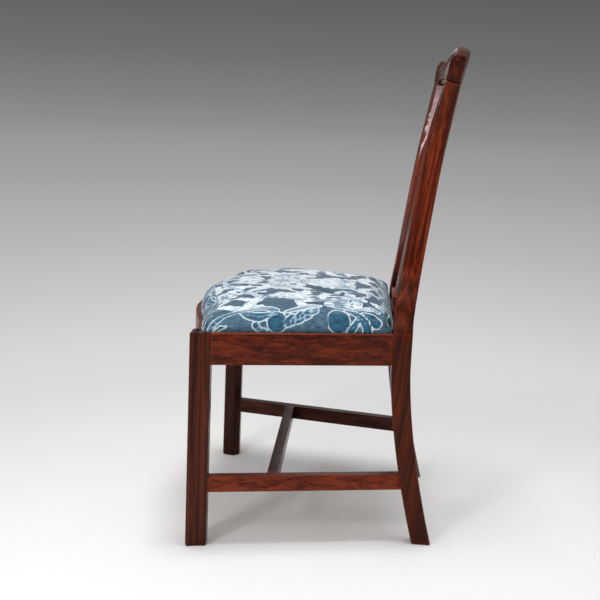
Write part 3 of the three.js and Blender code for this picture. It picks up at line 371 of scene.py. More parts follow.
# Plain woven jute: two sets of rough threads, over and under, brown and hairy. The pattern is the
# sum of two waves. Each is as wide as a bunch of threads, which lie so many millimetres apart, so
# that the weave shows from a step away.
def wovenJute(name, turn, thread, dark, pale):
    material, tree, shader = newMaterial(name)
    place = addNode(tree, "TexCoord").outputs["Object"]
    cloth = addNode(tree, "Mapping", {"Rotation": turn}, {"Vector": place})
    scale = 1000 / (thread * jute["bunch"]) / jute["perUnit"]
    waves = [addNode(tree, "TexWave", {"wave_type": "BANDS", "bands_direction": direction,
                                       "Scale": scale, "Distortion": 0.6, "Detail": 1.0},
                     {"Vector": cloth}).outputs["Fac"] for direction in ("X", "Y")]
    weave = addNode(tree, "Math", {"operation": "ADD"}, dict(enumerate(waves)))
    fibres = addNode(tree, "TexNoise", {"Scale": 300.0, "Detail": 4.0, "Roughness": 0.7},
                     {"Vector": cloth})
    level = addNode(tree, "Math", {"operation": "MULTIPLY_ADD", 1: 0.35}, {0: weave, 2: fibres})
    tone = addNode(tree, "ValToRGB", links={"Fac": level})
    setRamp(tone, [(0.45, dark), (0.75, pale), (1.0, pale)])
    bump = addNode(tree, "Bump", {"Strength": 0.6, "Distance": 0.0005}, {"Height": level})
    setNode(tree, shader, {"Roughness": 0.9}, {"Base Color": tone, "Normal": bump})
    return material


# Camera, at the photograph's place
camera = {"x": 2088.15, "y": 305.3, "z": 851.24, "turn": 0.0572, "down": 0.1935, "roll": 0.0436,
          "lens": 60.64}


# Turns a camera or a lamp by its right, its top and the way behind it, and puts it at a place.
def setPlace(thing, right, top, behind, place):
    matrix = np.eye(4)
    matrix[:3] = np.column_stack([right, top, behind, place])
    thing.matrix_world = matrix.T.tolist()


# Looks along -X, turned about Z, tipped down and rolled by the angles in the dictionary.
def makeCamera():
    turn, down, roll = camera["turn"], camera["down"], camera["roll"]
    level = np.array([-math.cos(turn), -math.sin(turn), 0])
    side = np.array([-math.sin(turn), math.cos(turn), 0])
    up = np.array([0, 0, 1.0])
    ahead = level * math.cos(down) - up * math.sin(down)
    above = up * math.cos(down) + level * math.sin(down)
    data = bpy.data.cameras.new("photographersCamera")
    data.lens, data.sensor_width = camera["lens"], 36
    scene.camera = makeObject("photographersCamera", data)
    setPlace(scene.camera, side * math.cos(roll) + above * math.sin(roll),
             above * math.cos(roll) - side * math.sin(roll), -ahead,
             toFrame([[camera["x"], camera["y"], camera["z"]]])[0])


makeCamera()
print("camera made")

# Studio: a pale floor that greys away from the camera as a painted falloff of light, and soft lamps
studio = {"reach": 60.0, "rings": 90, "sides": 96, "spacing": 3.2,  # power that the radii grow by
          "middleX": 1.0, "sideways": 1.5, "nearest": 0.15, "fades": (1.7, 2.6),
          "greys": [(0.2, 253), (0.9, 248), (1.17, 245), (1.55, 236), (2.2, 222), (3.25, 204),
                    (5.2, 184), (10.2, 163), (40, 139)],  # metres away, and level from 0 to 255
          "room": [(0.0, "#8b8b8b"), (0.039, "#828282"), (0.12, "#707070"), (0.23, "#606060"),
                   (0.42, "#888888"), (1.0, "#a8a8a8")],  # the last two are what polish shows
          "roomHeights": (-0.02, 0.5), "ambient": 0.45}


# 1 for a ray from the camera, off polish or through glass, and 0 for one that only lights: the
# greatest of the three marks.
def seenShare(tree):
    ray = addNode(tree, "LightPath")
    share = ray.outputs["Is Camera Ray"]
    for mark in ("Is Glossy Ray", "Is Transmission Ray"):
        share = addNode(tree, "Math", {"operation": "MAXIMUM"}, {0: share, 1: ray.outputs[mark]})
    return share


# Paint whose grey follows the logarithm of the distance from the floor's brightest place: a painted
# pool of light. Past the chair, seen rays get that grey as a glow, so that no lamp shows on it.
def paintedFloor(name):
    material, tree, shader = newMaterial(name)
    wide = addNode(tree, "VectorMath", {"operation": "MULTIPLY", 1: (1, studio["sideways"], 1)},
                   {0: addNode(tree, "TexCoord").outputs["Object"]})
    off = addNode(tree, "VectorMath", {"operation": "SUBTRACT", 1: (studio["middleX"], 0, 0)},
                  {0: wide})
    away = addNode(tree, "VectorMath", {"operation": "LENGTH"}, {0: off}).outputs["Value"]
    power = addNode(tree, "Math", {"operation": "LOGARITHM", 1: 10.0}, {0: away})
    low, high = math.log10(studio["nearest"]), math.log10(studio["reach"])
    along = addNode(tree, "MapRange", {"From Min": low, "From Max": high}, {"Value": power})
    greys = addNode(tree, "ValToRGB", links={"Fac": along})
    setRamp(greys, [((math.log10(radius) - low) / (high - low), "#" + 3 * f"{grey:02x}")
                    for radius, grey in studio["greys"]])
    glow = addNode(tree, "Emission", {"Strength": 1.0}, {"Color": greys})
    setNode(tree, shader, {"Roughness": 0.9, "Specular IOR Level": 0.0}, {"Base Color": greys})
    far = addNode(tree, "MapRange",
                  {"interpolation_type": "SMOOTHSTEP", "From Min": studio["fades"][0],
                   "From Max": studio["fades"][1]}, {"Value": away})
    share = addNode(tree, "Math", {"operation": "MULTIPLY"}, {0: far, 1: seenShare(tree)})
    mixed = addNode(tree, "MixShader", links={0: share, 1: shader, 2: glow})
    setNode(tree, tree.nodes["Material Output"], links={"Surface": mixed})
    return material


# Rings of points whose radius grows as a power, so that they are close near the chair.
def makeFloor():
    share = np.linspace(0, 1, studio["rings"])[1:]
    radius = studio["reach"] * 1000 * share ** studio["spacing"]
    angle = np.linspace(0, 2 * math.pi, studio["sides"], endpoint=False)
    points = np.stack([np.outer(radius, np.cos(angle)), np.outer(radius, np.sin(angle)),
                       np.zeros((len(radius), len(angle)))], axis=-1)
    faces = tubeFaces(len(radius), len(angle))
    mesh = bpy.data.meshes.new("studioFloor")
    mesh.from_pydata((points.reshape(-1, 3) / 1000).tolist(), [], faces[:-2] + [faces[-2][::-1]])
    makeObject("studioFloor", mesh)
    mesh.materials.append(paintedFloor("paintedStudioFloor"))


# What the camera and the polish see greys upwards as far as the picture goes, and pales towards
# the ceiling; the light from it is even and low.
def makeWorld():
    scene.world = bpy.data.worlds.new("studioRoom")
    scene.world.use_nodes = True
    tree = scene.world.node_tree
    tree.nodes.clear()
    parts = addNode(tree, "SeparateXYZ", links={"Vector": addNode(tree, "TexCoord")})
    low, high = studio["roomHeights"]
    height = addNode(tree, "MapRange", {"From Min": low, "From Max": high},
                     {"Value": parts.outputs["Z"]})
    greys = addNode(tree, "ValToRGB", links={"Fac": height})
    setRamp(greys, studio["room"])
    seen = addNode(tree, "Background", {"Strength": 1.0}, {"Color": greys})
    light = addNode(tree, "Background", {"Color": (1, 1, 1, 1), "Strength": studio["ambient"]})
    mixed = addNode(tree, "MixShader", links={0: seenShare(tree), 1: light, 2: seen})
    addNode(tree, "OutputWorld", links={"Surface": mixed})


lamps = [  # name, place in metres, what it faces, width and height, watts
    ("overheadBox", (0.15, 0.02, 4.0), (0.1, 0, 0), (1.3, 0.9), 74),
    ("cameraSideBox", (4.0, -0.6, 2.8), (0, 0, 0.45), (2.6, 2.2), 17),
    ("tallStrip", (2.2, -1.3, 1.8), (-0.17, 0.2, 0.83), (0.36, 1.1), 14),
    ("lowStrip", (2.2, -1.4, 0.55), (0.17, 0.15, 0.8), (0.3, 0.5), 5),
    ("farSidePanel", (-2.1, 0.12, 1.12), (0, 0.12, 0.85), (0.6, 0.34), 1),
]


# Each lamp looks straight at its target: its right is the way ahead crossed with Z, and its top is
# that right crossed with the way ahead.
def makeLamps():
    for name, place, towards, size, watts in lamps:
        data = bpy.data.lights.new(name, "AREA")
        data.shape, data.size, data.size_y, data.energy = "RECTANGLE", size[0], size[1], watts
        lamp = makeObject(name, data)
        ahead = np.array(towards, float) - np.array(place, float)
        ahead /= np.linalg.norm(ahead)
        right = np.cross(ahead, [0, 0, 1.0])
        right /= np.linalg.norm(right)
        setPlace(lamp, right, np.cross(right, ahead), -ahead, place)
        lamp.visible_camera = False


makeFloor()
makeWorld()
makeLamps()
print("studio made")

# The chair's plan and the shape of its back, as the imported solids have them
plan = {"frontWidth": 563, "rearWidth": 404, "seatDepth": 378, "frontBow": 30,
        "frontSetBack": 6, "legWidth": 37}
rails = {"top": 424, "height": 62, "thickness": 24, "round": 3.2, "lip": 9, "rebate": 18}
back = {"legWidth": 34, "footWidth": 30, "depth": 37.5, "setBack": 61, "power": 1.6, "joint": 901,
        "stileLean": 68, "lean": math.radians(12.5), "bow": 14, "shoeHeight": 46,
        "out": [(0, 1), (0.06, 0.945), (0.12, 0.865), (0.2, 0.79), (0.3, 0.745), (0.46, 0.733),
                (0.62, 0.742), (0.79, 0.768), (0.91, 0.81), (1, 0.852)],
        "width": [(0, 1), (0.2, 0.9), (1, 0.84)],
        "deep": [(0, 1), (0.45, 0.98), (0.7, 0.905), (0.85, 0.83), (1, 0.755)],
        "leans": [(0, 0), (0.055, 0.007), (0.21, 0.14), (0.43, 0.33), (0.7, 0.6), (0.85, 0.8),
                  (1, 1)]}
gap = 0.3
railBottom = rails["top"] - rails["height"]
ledge = rails["top"] - rails["rebate"]
shoeTop = rails["top"] + back["shoeHeight"]
splay = math.atan2((plan["frontWidth"] - plan["rearWidth"]) / 2, plan["seatDepth"])


# Outer face of a side: half the front width, less y times the splay's tangent.
def sideFaceAt(y):
    return plan["frontWidth"] / 2 - math.tan(splay) * np.asarray(y, float)


# Half a cosine from the leg out to the middle: proud there, and set back at the ends.
def serpentineAt(x):
    share = np.minimum(np.abs(x) / (plan["frontWidth"] / 2 - plan["legWidth"]), 1)
    waves = (1 + np.cos(np.pi * share)) / 2
    return plan["frontSetBack"] - (plan["frontSetBack"] + plan["frontBow"]) * waves


# Share of the height from the rails' top to the crest joint.
def aboveSeat(level):
    return (np.asarray(level, float) - rails["top"]) / (back["joint"] - rails["top"])


# Front edge of the back legs: a power curve below the rails, the lean's table above them, and a
# straight line past the crest joint.
def rearFrontAt(level):
    level = np.asarray(level, float)
    low = back["setBack"] * (np.clip(railBottom - level, 0, None) / railBottom) ** back["power"]
    high = back["stileLean"] * readTable(back["leans"], aboveSeat(level))
    past = math.tan(back["lean"]) * np.clip(level - back["joint"], 0, None)
    return plan["seatDepth"] + low + np.where(level > rails["top"], high, 0) + past


# Outer face of a stile: half the rear width, times the table's share at its height.
def stileOutAt(level):
    return plan["rearWidth"] / 2 * readTable(back["out"], aboveSeat(level))


# Depth of a back leg, times the table's share at its height.
def stileDepthAt(level):
    return back["depth"] * readTable(back["deep"], aboveSeat(level))


# Width of a back leg: it grows evenly from the foot to the rails, and above them it is the
# table's share of the whole.
def rearWidthAt(level):
    level = np.asarray(level, float)
    grown = np.clip(level / railBottom, 0, 1)
    low = back["footWidth"] + (back["legWidth"] - back["footWidth"]) * grown
    high = back["legWidth"] * readTable(back["width"], aboveSeat(level))
    return np.where(level > rails["top"], high, low)


# A place in the leaning, hollow back. The hollow is a parabola in x, and both it and the lean grow
# smoothly from the shoe to the crest.
def backPoint(x, level, depth):
    ramp = smoothStep(level, shoeTop, back["joint"])
    tilt = back["lean"] * ramp
    hollow = back["bow"] * ramp * (1 - (x / stileOutAt(level)) ** 2)
    y = rearFrontAt(level) + hollow + depth * np.cos(tilt)
    return np.stack(np.broadcast_arrays(x, y, level - depth * np.sin(tilt)), axis=-1)


# Front legs: two hollows between beads on each show face
frontLeg = {"width": plan["legWidth"], "depth": 38.8, "hollow": 2.2, "chamfer": 13,
            "bead": 0.125, "ridge": 0.22, "full": 0.8, "quirk": (-0.03, 0.05),  # of a show face
            "arris": 0.8, "soft": 1.6, "corner": 1.9,  # radii round the plan
            "foot": 3.2, "footFront": 6.5, "top": 2.8,  # radii at the ends
            "shaft": (12, 6),  # where the straight part starts and stops, from the two ends
            "rings": 30, "turns": 7, "bends": 6, "showPoints": 74, "plainPoints": 8}
past = 400  # anywhere behind the front legs
above = 30  # anywhere over the rails


# The plan's outline with a depth at each point: on the two show faces, half a sine between the
# beads and the ridge. Near the top and the foot each point moves in to the larger of that depth
# and a quarter circle, so the hollows run out in a scalloped line. The seat's rebate is cut out.
def makeFrontLegs(legFinishes):
    width, depth, chamfer = frontLeg["width"], frontLeg["depth"], frontLeg["chamfer"]
    outerFront, outerBack = ([float(sideFaceAt(y)), y] for y in (0.0, depth))
    innerFront, innerBack = ([x - width, y] for x, y in (outerFront, outerBack))
    toFront = (np.array(innerFront) - innerBack) * chamfer / depth
    corners = np.array([innerBack + toFront, innerFront, outerFront, outerBack,
                        [innerBack[0] + chamfer, innerBack[1]]])
    shows = [False, True, True, False, False]
    radii = [frontLeg[key] for key in ("arris", "soft", "corner", "soft", "arris")]
    ways = np.roll(corners, -1, axis=0) - corners
    lengths = np.linalg.norm(ways, axis=1)
    normals = np.stack([-ways[:, 1], ways[:, 0]], axis=1) / lengths[:, None]
    base, inward, sunk = [], [], []
    for k, (start, way, length, normal) in enumerate(zip(corners, ways, lengths, normals)):
        t = np.linspace(0, 1, frontLeg["bends"])[:, None]
        base.append(bendAt(t, start - ways[k - 1] / lengths[k - 1] * radii[k], start,
                           start + way / length * radii[k]))
        turned = (1 - t) * normals[k - 1] + t * normal
        inward.append(turned / np.linalg.norm(turned, axis=1)[:, None])
        sunk.append(np.zeros(len(t)))
        last = 1 - radii[(k + 1) % len(radii)] / length
        share = np.linspace(radii[k] / length, last,
                            frontLeg["showPoints" if shows[k] else "plainPoints"])[1:-1]
        base.append(start + share[:, None] * way)
        inward.append(np.repeat(normal[None], len(share), axis=0))
        t = (np.minimum(share, 1 - share) - frontLeg["bead"]) / (0.5 - frontLeg["bead"])
        arch = np.sin(np.pi * np.clip(t, 0, 1)) ** frontLeg["full"]
        curve = frontLeg["ridge"] + (1 - frontLeg["ridge"]) * arch
        sunk.append(frontLeg["hollow"] * curve * smoothStep(t, *frontLeg["quirk"]) * shows[k])
    base, inward, sunk = (np.concatenate(parts) for parts in (base, inward, sunk))

    atFront = smoothStep(-base[:, 1], -8, -1)
    foot = frontLeg["foot"] + (frontLeg["footFront"] - frontLeg["foot"]) * atFront
    turn = np.linspace(0, quarter, frontLeg["turns"])[:, None]
    low, high = frontLeg["shaft"]
    shaft = np.linspace(low, rails["top"] - high, frontLeg["rings"])[:, None]
    top = np.full(len(base), frontLeg["top"])
    levels = np.concatenate([foot * (1 - np.sin(turn[::-1])), np.repeat(shaft, len(base), axis=1),
                             rails["top"] - top * (1 - np.sin(turn))])
    insets = np.concatenate([foot * (1 - np.cos(turn[::-1])), np.zeros((len(shaft), len(base))),
                             top * (1 - np.cos(turn))])
    place = base + inward * np.maximum(sunk, insets)[..., None]
    points = np.concatenate([place, levels[..., None]], axis=-1)

    cornerX = float(sideFaceAt(plan["frontSetBack"] + rails["lip"])) - rails["lip"]
    front = [[x, serpentineAt(x) + rails["lip"]] for x in np.linspace(0, cornerX, 40)]
    outline = np.array(front + [[float(sideFaceAt(past)) - rails["lip"], past], [0, past]])
    for side, name in ((1, "front_leg_left"), (-1, "front_leg_right")):
        piece = makeMember(name + "_moulded", name, points * [side, 1, 1], legFinishes[side])
        rebate = [np.insert(outline * [side, 1], 2, level, axis=1)
                  for level in (ledge, rails["top"] + above)]
        cutAway(piece, np.stack(rebate), tubeFaces(2, len(outline)))


# Seat rails and stretchers
rails.update({"arris": 0.8, "inner": 0.4})  # radii of the other edges, and in the rebate's corner
backRail = {"radii": [0.8, 0.4, 1.6, 1.2], "points": 40}
stretchers = {"top": 140, "height": 31, "thickness": 21, "inset": 3, "crossAt": 159,
              "radii": [0.9, 2.4, 1.2, 0.8], "points": 40}
bars = {"ends": 0.003, "inner": 0.02, "points": 38,  # shares of the length where rings stand
        "frontPoints": 121, "bends": 5}


# A bar's section as distances behind its outer face, and heights, with each corner rounded.
def barSection(corners, radii):
    return roundedLine(corners, radii, bars["bends"])


# Runs from behind the front leg to the back leg's curved front edge, in planes of equal y that
# shear with the splay.
def sideBar(section, inset):
    behind, level = section[:, 0], section[:, 1]
    first = frontLeg["depth"] + gap
    last = rearFrontAt(level) - gap
    ends, inner = bars["ends"], bars["inner"]
    t = np.concatenate([[0, ends], np.linspace(inner, 1 - inner, bars["points"]), [1 - ends, 1]])
    y = first + t[:, None] * (last - first)[None]
    x = sideFaceAt(y) - (inset + behind)[None] / math.cos(splay)
    return np.stack([x, y, np.broadcast_to(level, y.shape)], axis=-1)


# The side rails and stretchers are such bars. The front rail follows the serpentine between the
# legs, and the cross stretcher and the back rail run straight from side to side.
def makeRails(railFinishes, stretcherFinishes, frontFinish, crossFinish, backFinish):
    lip, thick, top = rails["lip"], rails["thickness"], rails["top"]
    arris = rails["arris"]
    rebated = barSection([(0, railBottom), (0, top), (lip, top), (lip, ledge), (thick, ledge),
                          (thick, railBottom)],
                         [arris, rails["round"], arris, rails["inner"], arris, arris])
    for side, name in ((1, "left"), (-1, "right")):
        makeMember(f"side_rail_{name}_rounded", f"side_rail_{name}",
                   sideBar(rebated, 0) * [side, 1, 1], railFinishes[side])

    behind, level = rebated[:, 0], rebated[:, 1]
    share = np.linspace(-1, 1, bars["frontPoints"])[:, None]
    x = share * (plan["frontWidth"] / 2 - frontLeg["width"])
    for _ in range(6):  # the ends follow the legs' slanting inner faces
        y = serpentineAt(x) + behind[None]
        x = share * (sideFaceAt(y) - frontLeg["width"] - gap)
    makeMember("front_rail_serpentine", "front_rail",
               np.stack([x, y, np.broadcast_to(level, y.shape)], axis=-1), frontFinish)

    high, wide = stretchers["top"], stretchers["thickness"]
    low = high - stretchers["height"]
    square = barSection([(0, low), (0, high), (wide, high), (wide, low)], stretchers["radii"])
    for side, name in ((1, "left"), (-1, "right")):
        makeMember(f"side_stretcher_{name}_rounded", f"side_stretcher_{name}",
                   sideBar(square, stretchers["inset"]) * [side, 1, 1], stretcherFinishes[side])
    y = stretchers["crossAt"] - wide / 2 + square[:, 0]
    end = sideFaceAt(y) - stretchers["inset"] - wide / math.cos(splay) - gap
    x = np.linspace(-1, 1, stretchers["points"])[:, None] * end[None]
    makeMember("cross_stretcher_rounded", "cross_stretcher",
               np.stack(np.broadcast_arrays(x, y, square[:, 1]), axis=-1), crossFinish)
    plain = barSection([(0, railBottom), (0, top), (thick, top), (thick, railBottom)],
                       backRail["radii"])
    reach = plan["rearWidth"] / 2 - back["legWidth"] - gap
    x = np.linspace(-reach, reach, backRail["points"])[:, None]
    makeMember("back_rail_rounded", "back_rail",
               np.stack(np.broadcast_arrays(x, plan["seatDepth"] + plain[:, 0], plain[:, 1]),
                        axis=-1), backFinish)


# Back legs and stiles. The bevels stand on the front corners, so far across and so deep.
stile = {"bead": 5, "hollow": 2, "soft": 1.6, "rearSoft": 1.4, "outerRound": 3.4, "foot": 2.6,
         "quirk": 0.6, "start": 0.5, "floor": 0.3, "full": 0.8,  # of the hollow between the beads
         "bevel": (6.5, 19), "bevelFrom": (0.62, 0.93),  # and the heights that it grows between
         "outerBevel": (1.7, 4.4),
         "outerShow": [(0, 0.6), (0.13, 1), (0.22, 0.2), (0.3, 0), (0.6, 0), (0.74, 1), (1, 1)]}


# Each ring is a list of places that are sums of shares of the width, the depth and the hollow, and
# the rings follow the back's curve from the floor to the crest joint. Bevels grow on the front
# corners: a point there lies no nearer the front than deep times (grown - distance / across).
def makeStiles(finishes):
    bead, soft, outer, quirk = stile["bead"], stile["soft"], stile["outerRound"], stile["quirk"]
    rear = soft * stile["rearSoft"]
    turn = np.linspace(0, quarter, 6)
    grow, shrink = 1 - np.cos(turn), 1 - np.sin(turn)
    ring = []  # distance in from the outer face, share of the width, behind, share of depth, hollow
    ring += [(outer * a, 0, outer * b, 0, 0) for a, b in zip(grow, shrink)]
    ring += [(bead - quirk, 0, 0, 0, 0), (bead, 0, 0.25, 0, 0.05)]
    for s in np.linspace(0, 1, 15):
        arch = np.sin(np.pi * s) ** stile["full"]
        ring.append(((bead + stile["start"]) * (1 - 2 * s), s, 0, 0,
                     stile["floor"] + (1 - stile["floor"]) * arch))
    ring += [(-bead, 1, 0.25, 0, 0.05), (-bead + quirk, 1, 0, 0, 0)]
    ring += [(-soft * b, 1, soft * a, 0, 0) for a, b in zip(grow, shrink)]
    ring += [(-soft * a, 1, -soft * b, 1, 0) for a, b in zip(grow, shrink)]
    ring += [(rear * b, 0, -rear * a, 1, 0) for a, b in zip(grow, shrink)]
    ring = np.array(ring)
    foot = stile["foot"]
    levels = np.concatenate([foot * grow, np.linspace(foot + 6, railBottom, 46),
                             np.linspace(railBottom + 8, rails["top"], 7),
                             np.linspace(rails["top"] + 4, back["joint"], 100)])
    insets = np.concatenate([foot * shrink, np.zeros(len(levels) - len(turn))])
    level, inset = levels[:, None], insets[:, None]
    width = rearWidthAt(level) - 2 * inset
    depth = stileDepthAt(level) - 2 * inset
    worked = smoothStep(level, rails["top"], shoeTop)  # the hollow grows out of the plain leg
    across = inset + ring[:, 0] + ring[:, 1] * width
    behind = (inset + ring[:, 2] * np.where(ring[:, 4] > 0, worked, 1) + ring[:, 3] * depth
              + ring[:, 4] * stile["hollow"] * worked)
    grown = smoothStep(aboveSeat(level), *stile["bevelFrom"])
    shown = readTable(stile["outerShow"], aboveSeat(level)) * (level > rails["top"])
    for bevel, share, away in (("bevel", grown, inset + width - across),
                               ("outerBevel", shown, across - inset)):
        wide, deep = stile[bevel]
        cut = deep * (share - away / wide)
        behind = np.where((ring[:, 3] < 0.5) & (away < wide), np.maximum(behind, cut), behind)
    points = backPoint(stileOutAt(level) - across, np.broadcast_to(level, across.shape), behind)
    for side, name in ((1, "back_leg_and_stile_left"), (-1, "back_leg_and_stile_right")):
        makeMember(name + "_moulded", name, points * [side, 1, 1], finishes[side])


# Crest rail
crest = {"earHalf": 188, "rise": 72, "depth": 27.5, "round": 8, "field": 1.8, "band": 10,
         "arch": 10, "soft": 1.6, "endRound": 3.0, "quirk": 0.8,
         "mostOf": {"round": 0.4, "band": 0.35, "foot": 0.15, "soft": 0.1},  # of the height there
         "crowd": 1.5, "points": 241,  # rings crowd towards the ears by this power
         "archPower": 0.7, "edgePower": 0.6, "fieldSwell": 0.25,
         "tops": [(0, 1), (0.2, 0.985), (0.4, 0.89), (0.55, 0.73), (0.68, 0.575), (0.765, 0.525),
                  (0.84, 0.59), (0.9, 0.68), (0.945, 0.71), (0.98, 0.665), (1, 0.56)],
         "sweep": [(0, 0), (0.45, 0.16), (0.8, 0.34), (1, 0.5)]}
splat = {"half": 108, "thickness": 10, "inset": 5, "rib": 14, "midRib": 12, "centreRib": 15,
         "patera": 21, "pateraPower": 6, "pateraAt": 0.6, "from": 0.25, "to": 0.93, "split": 0.47,
         "foot": (0.05, 0.19), "soft": 1.1, "slotPower": 3,
         "innerLater": 0.04, "outerEarlier": 0.03, "seams": (0.36, 0.7),
         "rings": 60, "slotRings": 46, "columns": (10, 10, 9),
         "outline": [(0, 0.4), (0.06, 0.375), (0.14, 0.33), (0.24, 0.42), (0.38, 0.64),
                     (0.54, 0.86), (0.7, 0.985), (0.8, 1), (0.89, 0.94), (0.95, 0.84), (1, 0.79)]}
splatLow = shoeTop + gap


# Level over the splat and the stile, arched between them by half a sine, and swept up under the
# ears by the table.
def crestUnderAt(x):
    out = float(stileOutAt(back["joint"]))
    inner = out - float(rearWidthAt(back["joint"]))
    splatTop = splat["half"] * splat["outline"][-1][1]
    away = np.abs(x)
    ear = crest["rise"] * readTable(crest["sweep"], (away - out) / (crest["earHalf"] - out))
    t = np.clip((away - splatTop) / (inner - splatTop), 0, 1)
    arch = crest["arch"] * np.sin(np.pi * t) ** crest["archPower"]
    return np.where(away > out, ear, arch)


# Rings of the section along x. In each, the front has a foot bead, a sunk field, a quirk and a
# raised edge that rolls over the top in a quarter circle. At the ears' ends the section shrinks
# along a quarter circle.
def makeCrest(finish):
    share = np.linspace(-1, 1, crest["points"])
    x = crest["earHalf"] * np.sign(share) * (1 - (1 - np.abs(share)) ** crest["crowd"])
    low = crestUnderAt(x)
    high = crest["rise"] * readTable(crest["tops"], np.abs(x) / crest["earHalf"])
    height = high - low
    sizes = {"round": crest["round"], "band": crest["band"], "foot": stile["bead"],
             "soft": crest["soft"]}
    over, band, foot, soft = (np.minimum(size, height * crest["mostOf"][key])
                              for key, size in sizes.items())
    field = crest["field"] * np.minimum(1, height / crest["rise"] * 2)
    depth, quirk, edge = crest["depth"], crest["quirk"], crest["edgePower"]
    ring = [(0 * x, low + soft), (0 * x, low + foot - quirk)]  # each point's depth and height
    for t in np.linspace(0, 1, 5):
        ring.append((field * t**edge, low + foot + soft * t))
    for t in np.linspace(0, 1, 9):
        ring.append((field * (1 - crest["fieldSwell"] * np.sin(np.pi * t)),
                     low + foot + soft + 1 + (height - band - foot - 2 * soft - 2) * t))
    for t in np.linspace(0, 1, 5):
        ring.append((field * (1 - t) ** edge, high - band - soft + soft * t))
    ring.append((0 * x, high - band + quirk))
    for t in np.linspace(0, quarter, 8):
        ring.append((over * (1 - np.cos(t)), high - over * (1 - np.sin(t))))
    for t in np.linspace(0, quarter, 8):
        ring.append((depth - over * (1 - np.sin(t)), high - over * (1 - np.cos(t))))
    for t in np.linspace(0, quarter, 4):
        ring.append((depth - soft * (1 - np.cos(t)), low + soft * (1 - np.sin(t))))
    for t in np.linspace(0, quarter, 4):
        ring.append((soft * (1 - np.sin(t)), low + soft * (1 - np.cos(t))))
    behind, up = (np.array([point[k] for point in ring]).T for k in (0, 1))

    turn = np.linspace(quarter, 0, 6)[:-1, None]
    radius = crest["endRound"]
    inset = radius * (1 - np.cos(turn))
    rows = [(x * (1 - radius / crest["earHalf"]), behind, up)]
    for end in (0, -1):
        middle = (low[end] + high[end]) / 2
        cap = (x[end] - np.sign(x[end]) * radius * (1 - np.sin(turn[:, 0])),
               depth / 2 + (behind[end] - depth / 2) * (1 - 2 * inset / depth),
               middle + (up[end] - middle) * (1 - 2 * inset / height[end]))
        rows = [cap] + rows if end == 0 else rows + [tuple(part[::-1] for part in cap)]
    xs, behind, up = (np.concatenate([row[k] for row in rows]) for k in range(3))
    makeMember("crest_rail_carved", "crest_rail",
               backPoint(xs[:, None], back["joint"] + gap + up, behind), finish)


# How far a slot is open at each share of the splat's height: the root of 1 - |2t-1|³ between its
# ends, and nothing past them.
def slotOpening(shares, a, b):
    t = np.clip((shares - a) / (b - a), 0, 1)
    wide = np.sqrt(np.clip(1 - np.abs(2 * t - 1) ** splat["slotPower"], 0, 1))
    return np.where((shares <= a) | (shares >= b), 0, wide)


# Splat, pierced and bent with the back
# At each level the board is cut into strips by the slots' edges. A slot is open where its edges
# part, and where it is closed the two strips share their points. Arrises are taken off by the
# same share as the slot is open.
def makeSplat(finish):
    low, high = splatLow, back["joint"]
    inner = (splat["from"] + splat["innerLater"], splat["to"])
    outer = (splat["from"], splat["to"] - splat["outerEarlier"])
    t = (1 - np.cos(np.pi * np.linspace(0, 1, splat["slotRings"]))) / 2
    shares = [a + (b - a) * t for a, b in (inner, outer, splat["foot"])]
    shares = np.unique(np.round(np.concatenate([np.linspace(0, 1, splat["rings"])] + shares), 6))
    edge = splat["half"] * readTable(splat["outline"], shares)
    level = low + (high - low) * shares
    inside = edge - splat["rib"]
    rib = inside * splat["split"]
    away = (shares - splat["pateraAt"]) * (high - low) / splat["patera"]
    swell = np.sqrt(np.clip(1 - away**2, 0, 1)) * splat["patera"]
    power = splat["pateraPower"]
    centre = ((splat["centreRib"] / 2) ** power + swell**power) ** (1 / power)
    half = splat["midRib"] / 2
    footHalf = slotOpening(shares, *splat["foot"]) * splat["centreRib"] / 2
    cuts = [(footHalf, footHalf)]  # the two edges of each slot, from the middle out
    for slot, seam, first, last in ((inner, splat["seams"][0], centre, rib - half),
                                    (outer, splat["seams"][1], rib + half, inside)):
        wide = slotOpening(shares, *slot) * np.clip(last - first, 0, None) / 2
        settled = smoothStep(shares, splat["foot"][1], slot[0])
        middle = settled * (first + last) / 2 + (1 - settled) * edge * seam
        cuts.append((middle - wide, middle + wide))
    cuts.append((edge, edge))
    gaps = [footHalf * 2] + [b - a for a, b in cuts[1:3]] + [np.full(len(shares), 9.0)]

    points, faces, start, thick = [], [], 0, splat["thickness"]
    for side in (1, -1):
        for k, columns in enumerate(splat["columns"]):
            left, right = cuts[k][1], cuts[k + 1][0]
            softLeft, softRight = (np.minimum(splat["soft"], wide / 2) for wide in gaps[k:k + 2])
            s = np.linspace(0, 1, columns)
            front = (left + softLeft)[:, None] + s * (right - left - softLeft - softRight)[:, None]
            x = np.column_stack([front, right, right, front[:, ::-1], left, left])
            deep = np.column_stack([0 * front, softRight, thick - softRight, 0 * front + thick,
                                    thick - softLeft, softLeft])
            grid = backPoint(side * x, np.broadcast_to(level[:, None], x.shape),
                             splat["inset"] + deep)
            rows, cols = x.shape
            keep = np.ones((rows - 1, cols), bool)
            for column, wide in ((columns, gaps[k + 1]), (cols - 2, gaps[k])):
                opened = wide > 1e-9
                keep[:, column] = opened[:-1] | opened[1:]
            quads = np.array(tubeFaces(rows, cols)[:-2]).reshape(rows - 1, cols, 4)
            faces += (quads[keep] + start).tolist()
            c = np.arange(columns - 1)
            closing = np.stack([c, c + 1, 2 * columns - c, 2 * columns + 1 - c], axis=1).tolist()
            closing += [[columns - 1, columns, columns + 1, columns + 2],
                        [0, cols - 1, cols - 2, 2 * columns + 1]]
            for row in (0, rows - 1):
                faces += (np.array(closing) + start + row * cols).tolist()
            points.append(grid.reshape(-1, 3))
            start += rows * cols
    makePiece("splat_pierced", np.concatenate(points), faces, finish, "frame", ["splat"],
              sharp=50)


